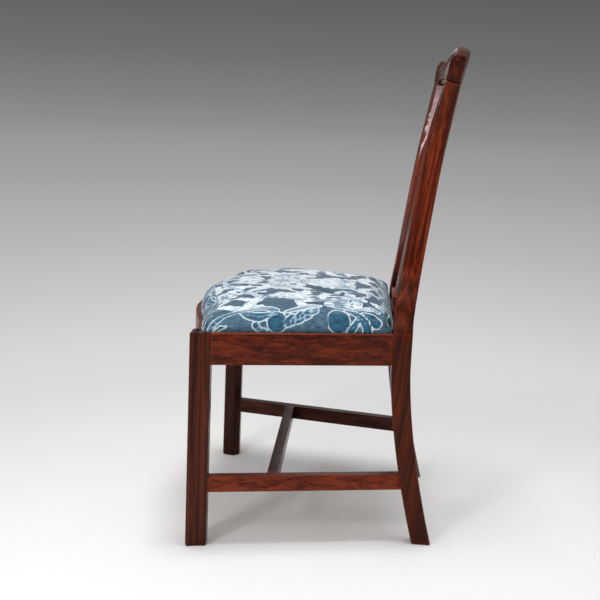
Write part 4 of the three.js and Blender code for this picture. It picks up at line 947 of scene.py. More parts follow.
# Shoe under the splat
shoe = {"depth": 25, "overhang": 9, "corner": 1.2, "bends": 4, "sharp": 50,
        "profile": [(0, 0), (0.38, 0), (0.42, 0.1), (0.5, 0.2), (0.6, 0.25), (0.7, 0.2),
                    (0.73, 0.06), (0.97, 0.04), (1, 0.16)],  # share of height, share of overhang
        "rings": [(0, 0.38, 5), (0.39, 0.74, 22), (0.78, 1, 10)]}


# Rings of a rounded oblong, each drawn in by the moulding's share of the overhang.
def makeShoe(finish):
    half = splat["half"] * splat["outline"][0][1] + shoe["overhang"]
    shares = np.concatenate([np.linspace(*stretch) for stretch in shoe["rings"]])
    drawn = np.interp(shares, *np.array(shoe["profile"]).T) * shoe["overhang"]
    rings = []
    for share, inset in zip(shares, drawn):
        a, b = plan["seatDepth"] + inset, plan["seatDepth"] + shoe["depth"] - inset
        corners = [(half - inset, a), (half - inset, b), (inset - half, b), (inset - half, a)]
        ring = roundedLine(corners, [shoe["corner"]] * 4, shoe["bends"])
        level = rails["top"] + gap + (back["shoeHeight"] - gap) * share
        rings.append(np.insert(ring, 2, level, axis=1))
    makeMember("splat_shoe_moulded", "splat_shoe", np.array(rings), finish, shoe["sharp"])


# Painted shade and light over the height: darker towards the floor, lightest from 0.6 to 0.72 m.
# Metres up, and share of the tone
stilePaintedShade = [(0, 0.17), (0.15, 0.19), (0.35, 0.26), (0.46, 0.38), (0.6, 0.9), (0.72, 0.92),
               (0.83, 0.56), (0.95, 0.46)]
upright, alongX, alongBack = (0, 0, 0), (0, quarter, 0), (0.12, 0, 0)  # turns of the grain
alongLeft, alongRight = (quarter, 0, splay), (quarter, 0, -splay)
stileLook = {"paintedHeightShade": stilePaintedShade, "wander": 0.1, "ribboned": 0.04, "wearAndHighlightTo": 0.2}
finishes = {
    "leg": polishedMahogany("Legs", upright, (0.3, 0.1, 0.2), "#1c0a08", "#37150f", "#552417"),
    # The far front leg has a darker copy of the legs' finish: painted shade for the far side.
    "legRightPaintedShade": polishedMahogany("FarLegPaintedShade", upright, (0.6, 0.4, 0.7), "#150807", "#28100d",
                                 "#3c1b13", wearAndHighlightTo=0.2),
    "stileLeft": polishedMahogany("Stile", alongBack, (0.1, 0.05, 0.4), "#2e0e07", "#6a210f",
                                  "#a6431a", polish=0.14, gloss=0.32, **stileLook),
    "stileRight": polishedMahogany("FarStile", alongBack, (0.7, 0.3, 0.1), "#36120a", "#742510",
                                   "#a8421a", polish=0.12, gloss=1.0, shine="#f8e0e2",
                                   **stileLook),
    "crest": polishedMahogany("Crest", alongX, (0.2, 0.6, 0.3), "#1e0a08", "#3a140e", "#5a2314",
                              wearAndHighlightTo=0.08, gloss=0.18),
    "splat": polishedMahogany("Splat", alongBack, (0.9, 0.2, 0.6), wearAndHighlightTo=0.3),
    "railLeft": polishedMahogany("Rail", alongLeft, (0.4, 0.2, 0.9), "#2c100c", "#4b1a11",
                                 "#702b16", wearAndHighlightTo=0.65),
    "railRight": polishedMahogany("FarRail", alongRight, (0.6, 0.9, 0.2)),
    "front": polishedMahogany("FrontRail", alongX, (0.5, 0.4, 0.1)),
    "stretcherLeft": polishedMahogany("Stretcher", alongLeft, (0.15, 0.55, 0.35), "#2e100a",
                                      "#602215", "#7c321a"),
    # The far side stretcher is a darker copy too: painted shade.
    "stretcherRightPaintedShade": polishedMahogany("FarStretcherPaintedShade", alongRight, (0.85, 0.15, 0.65), "#160908",
                                       "#2c1410", "#4a241a", wearAndHighlightTo=0.3),
    # The cross stretcher under the seat is darker: painted shade.
    "cross": polishedMahogany("CrossStretcherPaintedShade", alongX, (0.3, 0.8, 0.5), "#1a0b09", "#361712",
                              "#56281c", gloss=0.15),
}
makeFrontLegs({1: finishes["leg"], -1: finishes["legRightPaintedShade"]})
makeRails({1: finishes["railLeft"], -1: finishes["railRight"]},
          {1: finishes["stretcherLeft"], -1: finishes["stretcherRightPaintedShade"]}, finishes["front"],
          finishes["cross"], finishes["front"])
print("legs and rails made")
makeStiles({1: finishes["stileLeft"], -1: finishes["stileRight"]})
makeCrest(finishes["crest"])
makeSplat(finishes["splat"])
makeShoe(finishes["splat"])
print("back made")

# Drop-in seat: a stuffed pad under one damask cover, which is folded round the beech frame
cushion = {
    "clearance": 1.2, "cover": 1.4, "corner": 22, "under": 24, "frameHigh": 16, "tackLine": 10,
    "padAbove": 5.2, "fold": 0.9, "slack": 0.2,
    "faces": (0.05, 0.27),  # how far the cover's two faces lie below the frame
    "crown": 53, "cornerDrop": 0.24, "dropAt": (-0.54, 0.2), "dropEnds": (0.12, 0.6),
    "shoulder": 0.12, "bulge": 2,  # its share of the way in, and how far it stands out
    "toFront": (0.2, 0.85), "toRear": (0.2, 0.75),  # how far a direction must turn that way
    "front": 48, "sides": 36, "corners": 16,  # points along each stretch of its outline
    "sideRings": 6, "shoulderRings": 16, "crowd": 1.5,
    "swell": 5.0, "pressure": 1.2, "quality": 6, "frames": 20, "fill": 0.85,
    "sideCrown": [(0, 0.1), (0.005, 0.42), (0.014, 0.62), (0.034, 0.75), (0.08, 0.83),
                  (0.18, 0.9), (0.33, 0.95), (0.5, 0.98), (1, 1)],
    "backCrown": [(0, 0.1), (0.006, 0.36), (0.02, 0.56), (0.05, 0.7), (0.1, 0.8), (0.2, 0.89),
                  (0.33, 0.94), (0.5, 0.975), (1, 1)],
    "frontCrown": [(0, 0.1), (0.008, 0.32), (0.03, 0.52), (0.08, 0.68), (0.17, 0.81), (0.3, 0.9),
                   (0.5, 0.965), (1, 1)],
    "valley": ((40, 195), (150, 318), 5.0, 13),  # crease in the top: two ends, depth, width
    # The valley's fold and the pleats darken the cover's colour as painted shade.
    "paintedFoldShade": 0.8,  # how deep the valley counts as a fold, and of how much of its width
    "uneven": 0.7,  # height of the slow waves
    "pleats": [(-7.5, 3.0, 3.4, 0.5), (4.0, 3.8, 3.2, -0.4), (12.5, 2.4, 3.4, 0.3),
               (21, 2.2, 3.0, -0.2)],  # way from the corner, width, depth, slant
    "pleatFrom": (2, 10), "pleatTo": (26, 46), "slanted": 0.35,
    "ridge": (0.45, 1.9),  # beside a pleat: its share of the depth, and widths away
}
coverEdge = rails["lip"] + cushion["clearance"]
frameLow = ledge + gap
frameTop = frameLow + cushion["frameHigh"]
padLow = frameTop + cushion["padAbove"]
seatMiddle = np.array([0, plan["seatDepth"] / 2])
wideCount = cushion["front"] + cushion["corners"]  # points from one corner's middle to the next
deepCount = cushion["sides"] + cushion["corners"]


# Serpentine front, straight sides and back, and bent corners. The first point is the middle of
# the corner at the front right, and the points run to the left.
def cushionOutline(inset):
    front, rear = plan["frontSetBack"] + inset, plan["seatDepth"] - inset + rails["lip"]
    frontX, rearX = float(sideFaceAt(front)) - inset, float(sideFaceAt(rear)) - inset
    radius = max(cushion["corner"] - (inset - coverEdge), stile["soft"])
    line = np.array([[0, front], [frontX, front], [rearX, rear], [-rearX, rear], [-frontX, front],
                     [0, front]])
    x = np.linspace(radius - frontX, frontX - radius, cushion["front"], endpoint=False)
    parts = [np.stack([x, serpentineAt(x) + inset], axis=1)]
    turn = np.linspace(0, 1, cushion["corners"], endpoint=False)[:, None]
    for k, count in enumerate((cushion["sides"], cushion["front"], cushion["sides"], 0)):
        before, corner, after = line[k:k + 3]
        backward, forward = before - corner, after - corner
        a = corner + backward / np.linalg.norm(backward) * radius
        step = forward / np.linalg.norm(forward) * radius
        parts.append(bendAt(turn, a, corner, corner + step))
        t = np.linspace(0, 1, count, endpoint=False)[:, None]
        parts.append(corner + step + t * (forward - 2 * step))
    return np.roll(np.concatenate(parts), cushion["corners"] // 2, axis=0)


# The outline's points from the seat's middle, their outward normals, the way along it to each
# point, and the whole way round.
def cushionEdge():
    edge = cushionOutline(coverEdge) - seatMiddle
    turned = np.roll(edge, -1, axis=0) - np.roll(edge, 1, axis=0)
    out = np.stack([turned[:, 1], -turned[:, 0]], axis=1)
    out /= np.linalg.norm(turned, axis=1)[:, None]
    out *= np.sign((out * edge).sum(axis=1))[:, None]
    along = np.linalg.norm(np.roll(edge, -1, axis=0) - edge, axis=1).cumsum()
    return edge, out, np.concatenate([[0], along[:-1]]), along[-1]


# Crown times the share of it that the tables give for the way in from the edge, blended by the
# direction from the middle: front, side or back. A bell round the front corners' direction
# lowers them.
def crownHeight(share, facing):
    side, rear, front = (readTable(cushion[key], share)
                         for key in ("sideCrown", "backCrown", "frontCrown"))
    forward = smoothStep(-facing, *cushion["toFront"])
    rearward = smoothStep(facing, *cushion["toRear"])
    at, wide = cushion["dropAt"]
    corner = np.exp(-(((facing - at) / wide) ** 2)) * (1 - smoothStep(share, *cushion["dropEnds"]))
    blended = side + (front - side) * forward + (rear - side) * rearward
    return cushion["crown"] * blended * (1 - cushion["cornerDrop"] * corner)


# Fills a ring of points with a grid: the sum of the blends between opposite sides, less the blend
# of the four corners.
def fillRing(ring, m, n):
    closed = np.concatenate([ring, ring[:1]])
    a, b = np.linspace(0, 1, m + 1)[:, None, None], np.linspace(0, 1, n + 1)[None, :, None]
    near, far = closed[:m + 1][:, None], closed[m + n:2 * m + n + 1][::-1][:, None]
    right, left = closed[m:m + n + 1][None], closed[2 * m + n:][::-1][None]
    corners = ((1 - a) * (1 - b) * near[0, 0] + a * (1 - b) * near[-1, 0]
               + (1 - a) * b * far[0, 0] + a * b * far[-1, 0])
    return (1 - b) * near + b * far + (1 - a) * left + a * right - corners


# Numbers of a grid's points, where its edge is a ring that starts at ringStart and the points
# inside it start at innerStart.
def gridNumbers(m, n, ringStart, innerStart):
    numbers = np.zeros((m + 1, n + 1), int)
    numbers[1:-1, 1:-1] = innerStart + np.arange((m - 1) * (n - 1)).reshape(m - 1, n - 1)
    total = 2 * (m + n)
    numbers[:, 0] = ringStart + np.arange(m + 1)
    numbers[-1, :] = ringStart + np.arange(m, m + n + 1)
    numbers[:, -1] = ringStart + np.arange(m + n, 2 * m + n + 1)[::-1]
    numbers[0, :] = ringStart + np.arange(2 * m + n, total + 1)[::-1] % total
    return numbers


# Rings round the closed form, from the pad's underside, down inside the cover, under the frame,
# up the outside and in over the shoulder, whose bulge is half a sine.
def cushionRings():
    inner = coverEdge + cushion["cover"] + gap
    tacked, under = inner + cushion["tackLine"] - gap, inner + cushion["under"]
    upper, lower = (frameLow - below for below in cushion["faces"])
    fold, low = cushion["fold"], frameLow + cushion["fold"]
    rows = []
    for inset, height, steps in (
            (tacked, padLow, 1), (tacked, frameTop + gap, 1), (inner, frameTop + gap, 2),
            (inner - cushion["slack"], upper, 2), (under, upper, 3), (under, lower, 1),
            (coverEdge + fold, lower, 3), (coverEdge, low, 1)):
        target = np.insert(cushionOutline(inset), 2, height, axis=1)
        start = rows[-1] if rows else target
        rows += [start + (target - start) * k / steps for k in range(1, steps + 1)]
    away = cushionEdge()[0]
    length = np.linalg.norm(away, axis=1)
    facing = away[:, 1] / length
    base = rails["top"] + crownHeight(0.0, facing)
    for t in np.linspace(0, 1, cushion["sideRings"] + 1)[1:]:
        rows.append(np.column_stack([seatMiddle + away, low + (base - low) * t]))
    bulge = cushion["bulge"] * (1 - smoothStep(-facing, *cushion["toFront"]))
    for t in np.linspace(0, 1, cushion["shoulderRings"] + 1)[1:] ** cushion["crowd"]:
        share = cushion["shoulder"] * t
        reach = 1 - share + bulge * np.sin(np.pi * t) / length
        rows.append(np.column_stack([seatMiddle + away * reach[:, None],
                                     rails["top"] + crownHeight(share, facing)]))
    return np.array(rows)


# A bell across the line between two places, of the given depth and width, fading past its ends.
def grooveAt(places, start, end, depth, width):
    way = np.array(end, float) - start
    length = np.linalg.norm(way)
    way /= length
    off = places - np.array(start)
    t = off @ way / length
    across = off @ np.array([-way[1], way[0]])
    ends = smoothStep(t, -0.15, 0.3) * smoothStep(1 - t, -0.1, 0.3)
    return depth * np.exp(-((across / width) ** 2)) * ends


# The rings, closed below and above by filled grids. In the top grid a point's height follows its
# share of the way in from the edge in its own direction, less the valley.
def cushionShape(rings):
    m, n = wideCount, deepCount
    bottom, top = (fillRing(ring, m, n)[1:-1, 1:-1] for ring in (rings[0], rings[-1]))
    away = top[..., :2] - seatMiddle
    length = np.linalg.norm(away, axis=-1)
    edge = cushionEdge()[0]
    reach = np.interp(np.arctan2(away[..., 1], away[..., 0]), np.arctan2(edge[:, 1], edge[:, 0]),
                      np.linalg.norm(edge, axis=1), period=2 * np.pi)
    share = np.maximum(1 - length / reach, cushion["shoulder"])
    top[..., 2] = rails["top"] + crownHeight(share, away[..., 1] / np.maximum(length, 1e-6))
    top[..., 2] -= grooveAt(top[..., :2], *cushion["valley"])
    points = np.concatenate([part.reshape(-1, 3) for part in (rings, bottom, top)])
    start, inside = rings.shape[0] * rings.shape[1], (m - 1) * (n - 1)
    faces = tubeFaces(*rings.shape[:2])[:-2]
    for ring, inner in ((start - rings.shape[1], start + inside), (0, start)):
        faces += gridFaces(gridNumbers(m, n, ring, inner)).tolist()
    return points, faces


# The places that the ornament reads. The cloth's own are the plan on the shoulder, and past it
# they run out along the edge's normal by the length of the skin. The way round is counted from
# the front's middle, both ways alike, so that it is the way along the side rail on the sides. The
# rise is the climb up the rings from the rails' top.
def clothPlaces(rings, points):
    edge, out, along, whole = cushionEdge()
    steps = rings[:-1] - rings[1:]
    shoulder = (np.arange(len(steps)) >= len(steps) - cushion["shoulderRings"])[:, None, None]
    flat = steps[..., :2] * shoulder
    skin = np.linalg.norm(steps, axis=2) - np.linalg.norm(flat, axis=2)
    moved = (flat + out * skin[..., None])[::-1].cumsum(axis=0)[::-1]
    cloth = rings[-1, :, :2] + np.concatenate([moved, np.zeros((1, len(edge), 2))])
    middle = wideCount + deepCount // 2  # a meridian half way along the left side
    outside = len(rings) - cushion["shoulderRings"] - cushion["sideRings"] - 1
    heights = rings[..., 2] - rails["top"]
    railRow = outside + int(np.abs(heights[outside:, middle]).argmin())
    half = along[wideCount] / 2
    fromFront = np.minimum((along - half) % whole, (half - along) % whole)
    around = fromFront - fromFront[middle] + rings[railRow, middle, 1] / math.cos(splay)
    rise = np.insert(np.linalg.norm(steps, axis=2).cumsum(axis=0), 0, 0, axis=0)
    rise += heights[railRow] - rise[railRow]
    inner = points[rise.size:]
    cloth = np.concatenate([cloth.reshape(-1, 2), inner[:, :2]])
    hidden = np.repeat([-99.0, 99.0], len(inner) // 2)  # below the ornament, and above its sides
    return {"clothU": cloth[:, 0], "clothV": cloth[:, 1],
            "around": np.append(np.tile(around, len(rings)), np.full(len(inner), around.mean())),
            "rise": np.append(rise, hidden)}


# How far the pleats dip at each point of the rings, and how deep in a fold it lies, which the
# cover's colour darkens as painted shade. A pleat is a bell across a slanting line near a corner,
# with a softer ridge beside it, from the rail up over the shoulder.
def cushionPleats(rings):
    along, whole = cushionEdge()[2:]
    height = rings[..., 2] - rails["top"]
    fade = smoothStep(height, *cushion["pleatFrom"])
    fade *= 1 - smoothStep(height, *cushion["pleatTo"])
    raised, beside = cushion["ridge"]
    dip, fold = np.zeros(height.shape), np.zeros(height.shape)
    for corner, flip in ((0, 1), (wideCount, -1), (wideCount + deepCount, 1),
                         (2 * wideCount + deepCount, -1)):
        fromCorner = (along - along[corner] + whole / 2) % whole - whole / 2
        for at, width, depth, slant in cushion["pleats"]:
            across = (fromCorner * flip - at - slant * height * cushion["slanted"]) / width
            bell = np.exp(-(across**2))
            dip += depth * fade * (bell - raised * np.exp(-((across - beside) ** 2)))
            fold = np.maximum(fold, fade * bell)
    return dip, fold


# Blender's cloth blows the pad out against its tacked edge. No point may move more than the cap.
def letSwell(piece, pinned):
    before = readPoints(piece.data, "co")
    tacked = piece.vertex_groups.new(name="tacked")
    tacked.add(np.flatnonzero(pinned).tolist(), 1.0, "REPLACE")
    cloth = piece.modifiers.new("swell", "CLOTH")
    cloth.settings.vertex_group_mass = "tacked"
    cloth.settings.use_pressure = True
    cloth.settings.uniform_pressure_force = cushion["pressure"]
    cloth.settings.effector_weights.gravity = 0
    cloth.settings.quality = cushion["quality"]
    cloth.collision_settings.use_collision = False
    for number in range(1, cushion["frames"] + 1):
        scene.frame_set(number)
    graph = bpy.context.evaluated_depsgraph_get()
    moved = readPoints(piece.evaluated_get(graph).data, "co") - before
    size = np.linalg.norm(moved, axis=1)
    print("swell, mean and greatest in mm:",
          *(round(value * 1000, 2) for value in (size.mean(), size.max())))
    moved *= (np.minimum(size, cushion["swell"] / 1000) / np.maximum(size, 1e-9))[:, None]
    piece.modifiers.clear()
    piece.vertex_groups.clear()
    scene.frame_set(1)
    piece.data.vertices.foreach_set("co", (before + moved).ravel())


# Woven ornament, in millimetres of cloth. On the sides a place is (along the side rail from the
# front, height above the rail); on the top it is the seat's plan, mirrored about x = 0. Each motif
# is a run of discs along a spine whose radius follows its width, so its edge is the least of the
# distances to them: spine points, and widths at even steps along them.
damask = {
    "spacing": 2.5, "margin": 24,  # between discs, and how far round a motif places are tried
    "taller": 1.12, "lobed": 4.4, "more": 7.5, "sideLength": 372, "foldAt": 6, "shoulder": 57,
    "side": {
        "bigScroll": ([(36, 2), (44, 18), (62, 37), (86, 46), (112, 48), (138, 46), (157, 38)],
                      [9, 12, 14, 13, 11, 12, 14]),
        "scrollBoss": ([(161, 18), (161.5, 18)], [38, 38]),
        "wing": ([(84, 41), (104, 31), (128, 27), (150, 33)], [7, 16, 17, 8]),
        "smallScroll": ([(120, 12), (128, 5), (140, 2)], [13, 10, 8]),
        "leafStem": ([(176, 36), (200, 44), (226, 50), (250, 51)], [5, 9, 8, 4]),
        "lobeOne": ([(178, 16), (186, 20), (190, 28)], [14, 20, 12]),
        "lobeTwo": ([(194, 20), (204, 26), (207, 34)], [13, 20, 12]),
        "lobeThree": ([(210, 27), (220, 33), (222, 40)], [12, 18, 10]),
        "lobeFour": ([(226, 35), (236, 40), (240, 46)], [9, 13, 6]),
        "roundel": ([(280, 21), (280.5, 21)], [45, 45]),
        "band": ([(300, 42), (318, 34), (331, 18), (337, -2)], [9, 14, 17, 18]),
        "innerBand": ([(303, 4), (312, 14), (318, 26)], [16, 13, 6]),
        "drop": ([(334, 36), (346, 28), (354, 17)], [8, 17, 22]),
        "curlOne": ([(318, 46), (336, 50), (352, 45)], [6, 8, 5]),
        "curlTwo": ([(342, 56), (358, 50), (366, 38)], [6, 9, 6]),
        "cornerLeaf": ([(4, 0), (9, 24), (22, 46)], [7, 9, 5]),
        "cornerSpray": ([(20, -2), (19, 12), (26, 30)], [5, 7, 4]),
        "footLeaf": ([(44, -2), (54, 6), (66, 9)], [4, 8, 3]),
    },
    "ground": [  # patches of the top where the ribbed ground shows
        ([(16, 84), (24, 104), (14, 130)], [10, 38, 10]),
        ([(114, 66), (106, 100), (112, 138)], [8, 30, 8]),
        ([(126, 132), (116, 152), (124, 174)], [6, 22, 6]),
        ([(206, 112), (194, 138), (192, 168), (204, 206)], [4, 40, 42, 4]),
        ([(124, 202), (118, 232), (128, 268)], [6, 30, 8]),
        ([(54, 222), (84, 246), (100, 270)], [8, 32, 10]),
        ([(94, 296), (104, 322), (114, 352)], [8, 38, 14]),
        ([(6, 314), (30, 334), (58, 354)], [16, 46, 16]),
        ([(74, 252), (66, 276), (76, 304)], [6, 20, 6]),
        ([(156, 2), (164, 22), (154, 44)], [6, 26, 6]),
        ([(34, 178), (44, 205), (38, 230)], [5, 20, 5]),
        ([(152, 220), (162, 246), (154, 272)], [4, 16, 4]),
        ([(206, 50), (196, 76), (206, 108)], [5, 24, 5]),
        ([(170, 292), (165, 318), (178, 342)], [5, 24, 6]),
        ([(62, 32), (52, 56), (62, 82)], [5, 22, 5]),
        ([(0, 192), (0.5, 215), (0, 240)], [6, 22, 6]),
        ([(88, 176), (98, 196), (90, 220)], [4, 16, 4]),
        ([(206, 214), (199, 240), (206, 268)], [4, 18, 4]),
        ([(94, 4), (104, 24), (96, 46)], [5, 22, 5]),
        ([(162, 54), (152, 76), (160, 100)], [4, 20, 4]),
        ([(20, -4), (28, 22), (16, 50)], [5, 24, 5]),
        ([(200, -6), (212, 14), (206, 34)], [4, 16, 4]),
        ([(60, -30), (96, -22), (130, -24)], [4, 14, 4]),
        ([(0, -40), (30, -36), (56, -46)], [8, 18, 4]),
        ([(140, 104), (146, 122), (140, 142)], [4, 12, 4]),
        ([(66, 100), (72, 122), (64, 146)], [4, 14, 4]),
        ([(132, 320), (138, 340), (132, 360)], [4, 14, 4]),
        ([(40, 268), (34, 286), (42, 304)], [4, 12, 4]),
    ],
    "top": {  # drawn in line inside the figure
        "stem": ([(0, 22), (60, 40), (120, 78), (165, 130), (172, 190), (176, 250), (150, 300),
                  (100, 334)], [7, 8, 9, 10, 9, 8, 7, 5]),
        "leafOne": ([(165, 130), (150, 168), (120, 198), (82, 208)], [8, 22, 25, 4]),
        "leafTwo": ([(172, 190), (214, 216), (224, 252)], [7, 17, 4]),
        "leafThree": ([(120, 78), (100, 110), (66, 128), (34, 128)], [8, 20, 22, 4]),
        "leafFour": ([(60, 40), (92, 18), (132, 8), (176, 14)], [7, 20, 22, 4]),
        "leafFive": ([(165, 130), (196, 112), (222, 98), (232, 66)], [8, 19, 19, 4]),
        "leafSix": ([(176, 250), (148, 238), (112, 248), (78, 274)], [8, 19, 22, 4]),
        "leafSeven": ([(150, 300), (186, 316), (214, 320)], [8, 19, 5]),
        "leafEight": ([(100, 334), (70, 318), (40, 324), (16, 344)], [6, 18, 20, 4]),
        "palmOne": ([(0, 196), (0, 232), (0, 282)], [12, 26, 4]),
        "palmTwo": ([(4, 194), (28, 216), (46, 252)], [10, 22, 4]),
        "palmThree": ([(8, 188), (44, 190), (78, 168)], [8, 17, 4]),
        "frontPalmOne": ([(0, 104), (0, 76), (0, 44)], [12, 24, 4]),
        "frontPalmTwo": ([(4, 104), (30, 88), (44, 58)], [8, 19, 4]),
        "frontLeafOne": ([(210, 34), (192, -6), (156, -34)], [8, 22, 6]),
        "frontLeafTwo": ([(20, -22), (62, -34), (104, -24)], [8, 24, 5]),
        "frontLeafThree": ([(130, -22), (112, -52), (80, -66)], [8, 20, 5]),
        "rearLeafOne": ([(40, 380), (84, 368), (128, 384)], [8, 22, 5]),
        "rearLeafTwo": ([(150, 352), (176, 366), (190, 396)], [8, 20, 6]),
        "rearLeafThree": ([(20, 404), (60, 416), (104, 410)], [8, 20, 5]),
        "flowerHeart": ([(184, 274), (184.5, 274)], [16, 16]),
        "middleHeart": ([(0, 150), (0.5, 150)], [20, 20]),
        "smallHeart": ([(30, 282), (30.5, 282)], [12, 12]),
    },
    "flowers": [((184, 274), 21, 8, 15), ((0, 150), 26, 9, 18), ((30, 282), 17, 8, 12),
                ((146, 44), 17, 7, 12), ((0, 364), 22, 8, 16), ((60, 150), 18, 7, 13)],
    "petal": (0.42, 0.7),  # where a petal starts, of the radius, and its width there
}


# Smooth curve through the spine's points, sampled evenly, with half the width at each place.
def spineOf(points, widths):
    points = np.array(points, float)
    length = np.linalg.norm(np.diff(points, axis=0), axis=1).sum()
    last = len(points) - 1
    at = np.linspace(0, last, 3 + int(length / damask["spacing"]))
    knots = np.arange(len(points))
    place = np.stack([readTable(np.column_stack([knots, points[:, k]]), at) for k in (0, 1)],
                     axis=1)
    return place, np.interp(at, np.linspace(0, last, len(widths)), widths) / 2


# A motif's signed distance is the least distance to its discs' edges. Gives the least over all
# motifs, and how near the place lies to a drawn line: a motif's own edge or its midrib.
def motifDistance(places, motifs):
    least, line = np.full(len(places), 99.0), np.full(len(places), 99.0)
    for points, widths in motifs:
        discs, radii = spineOf(points, widths)
        low, high = discs.min(axis=0) - damask["margin"], discs.max(axis=0) + damask["margin"]
        near = np.flatnonzero(((places > low) & (places < high)).all(axis=1))
        if len(near) == 0:
            continue
        ways = np.gradient(discs, axis=0)
        ways /= np.linalg.norm(ways, axis=1)[:, None] + 1e-9
        off = places[near, None] - discs[None]
        away = np.sqrt((off**2).sum(axis=2)) - radii
        nearest = away.argmin(axis=1)
        rows = np.arange(len(near))
        edge, way, gone = away[rows, nearest], ways[nearest], off[rows, nearest]
        across = np.abs(gone[:, 1] * way[:, 0] - gone[:, 0] * way[:, 1])
        rib = np.where((edge < -2.5) & (radii[nearest] < 15), across + 0.6, 99)
        line[near] = np.minimum(line[near], np.minimum(np.abs(edge), rib))
        least[near] = np.minimum(least[near], edge)
    return least, line


# Petals round a flower's middle, each a short stroke outwards.
def petals(middle, radius, count, width):
    angles = 2 * np.pi * (np.arange(count) + 0.5) / count
    start, narrow = damask["petal"]
    return [([middle + way * radius * start, middle + way * radius], [width * narrow, width])
            for way in np.stack([np.cos(angles), np.sin(angles)], axis=1)]


# Signed distance to the edge of the satin figure, less than 0 inside it, and the distance to the
# nearest line drawn in it. Round the sides the figure is the side motifs, repeated by folding the
# way round at the corners; above the shoulder it is the leaves and flowers and everything but the
# patches of ground, whose edges are lobed by |sin| waves. The figure's edge wavers as woven steps
# do.
def ornamentAt(cloth, around, rise):
    reach, turn, lobed = damask["sideLength"], damask["foldAt"], damask["lobed"]
    paintedFoldShare = np.where(around < reach / 2, np.abs(around - turn) + turn,
                      reach - np.abs(reach - around))
    sidePlaces = np.column_stack([paintedFoldShare, rise / damask["taller"]])
    sideAway, sideLine = motifDistance(sidePlaces, damask["side"].values())
    x, y = cloth.T
    places = np.column_stack([np.abs(x), y])
    places += 3.5 * np.sin(places[:, ::-1] / [17, 23] + 1.3 * np.sin(places / [31, 19]))
    lobes = (np.abs(np.sin(x / 6.5 + 1.9 * np.sin(y / 19)))
             + np.abs(np.sin(y / 5.0 + 1.7 * np.sin(x / 24))))
    groundAway = motifDistance(places, damask["ground"])[0] + lobed * (lobes - 1.2)
    drawn = list(damask["top"].values())
    for flower in damask["flowers"]:
        drawn += petals(*flower)
    leafAway, leafLine = motifDistance(places, drawn)
    leafAway += 0.8 * lobed * (1 - lobes)
    figure = np.minimum(damask["more"] - groundAway, leafAway)
    shoulder = damask["shoulder"] + 4 * np.sin(around / 17) - rise
    topAway = np.maximum(shoulder, figure)
    waver = 0.6 * np.sin(x / 2.3 + 2 * np.sin(y / 9)) * np.sin(y / 2.7)
    line = np.where(sideAway < topAway, sideLine, leafLine)
    return np.minimum(sideAway, topAway) + waver, line + 0.4 * waver


# Reads the cloth's places back from the finished surface, and keeps the ornament for them. The
# figure is painted pale where the surface faces up and lies above the sides: painted light, the
# sheen of the satin under the light overhead.
def keepOrnament(mesh):
    kept = []
    for name in ("clothU", "clothV", "around", "rise"):
        values = np.zeros(len(mesh.vertices))
        mesh.attributes[name].data.foreach_get("value", values)
        kept.append(values)
    cloth, around, rise = np.stack(kept[:2], axis=1), kept[2], kept[3]
    figure, line = ornamentAt(cloth, around, rise)
    # Painted light: the share of pale satin grows where the surface faces up, above the sides.
    paintedTopLightShare = smoothStep(readPoints(mesh, "normal")[:, 2], 0.45, 0.8) * smoothStep(rise, 44, 66)
    keepNumbers(mesh, {"figure": figure, "line": line, "paintedTopLight": paintedTopLightShare})
    layer = mesh.uv_layers.new(name="cloth")
    corners = np.zeros(len(mesh.loops), int)
    mesh.loops.foreach_get("vertex_index", corners)
    layer.data.foreach_set("uv", (cloth[corners] / 1000).ravel())


# The closed form, blown out, pleated at its corners and made uneven by slow waves over the crown,
# and then smoothed once.
def makeCushion(finish):
    rings = cushionRings()
    points, faces = cushionShape(rings)
    mesh = bpy.data.meshes.new("damaskCushion")
    mesh.from_pydata(toFrame(points).tolist(), [], faces)
    piece = makeObject("damask_cushion", mesh)
    letSwell(piece, points[:, 2] <= rails["top"] + 1)
    x, y, height = points[:, 0], points[:, 1], points[:, 2] - rails["top"]
    start, end, _, width = cushion["valley"]
    paintedFoldShade = cushion["paintedFoldShade"]
    # Painted shade: the valley's fold and the pleats darken the cover's colour.
    fold = grooveAt(points[:, :2], start, end, paintedFoldShade, paintedFoldShade * width)
    fold *= smoothStep(height, 30, 40)
    dip, paintedPleatShade = cushionPleats(rings)
    fold[:dip.size] = np.maximum(fold[:dip.size], paintedPleatShade.ravel())
    places = readPoints(mesh, "co")
    out = cushionEdge()[1]
    places[:dip.size, :2] -= (out * dip[..., None]).reshape(-1, 2) / 1000
    wave = np.sin(x / 31 + 1) * np.sin(y / 27) + 0.6 * np.sin(x / 17 + y / 23)
    places[:, 2] += cushion["uneven"] / 1000 * wave * smoothStep(height, 30, 45)
    mesh.vertices.foreach_set("co", places.ravel())
    keepNumbers(mesh, {**clothPlaces(rings, points), "fold": fold})

    smooth = piece.modifiers.new("smooth", "SUBSURF")
    smooth.levels = smooth.render_levels = 1
    fine = keepModified(piece)
    keepOrnament(fine)
    fine.shade_smooth()
    fine.materials.clear()
    fine.materials.append(finish)
    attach(piece, "drop_in_seat")
    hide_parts("seat_cover", "seat_stuffing")


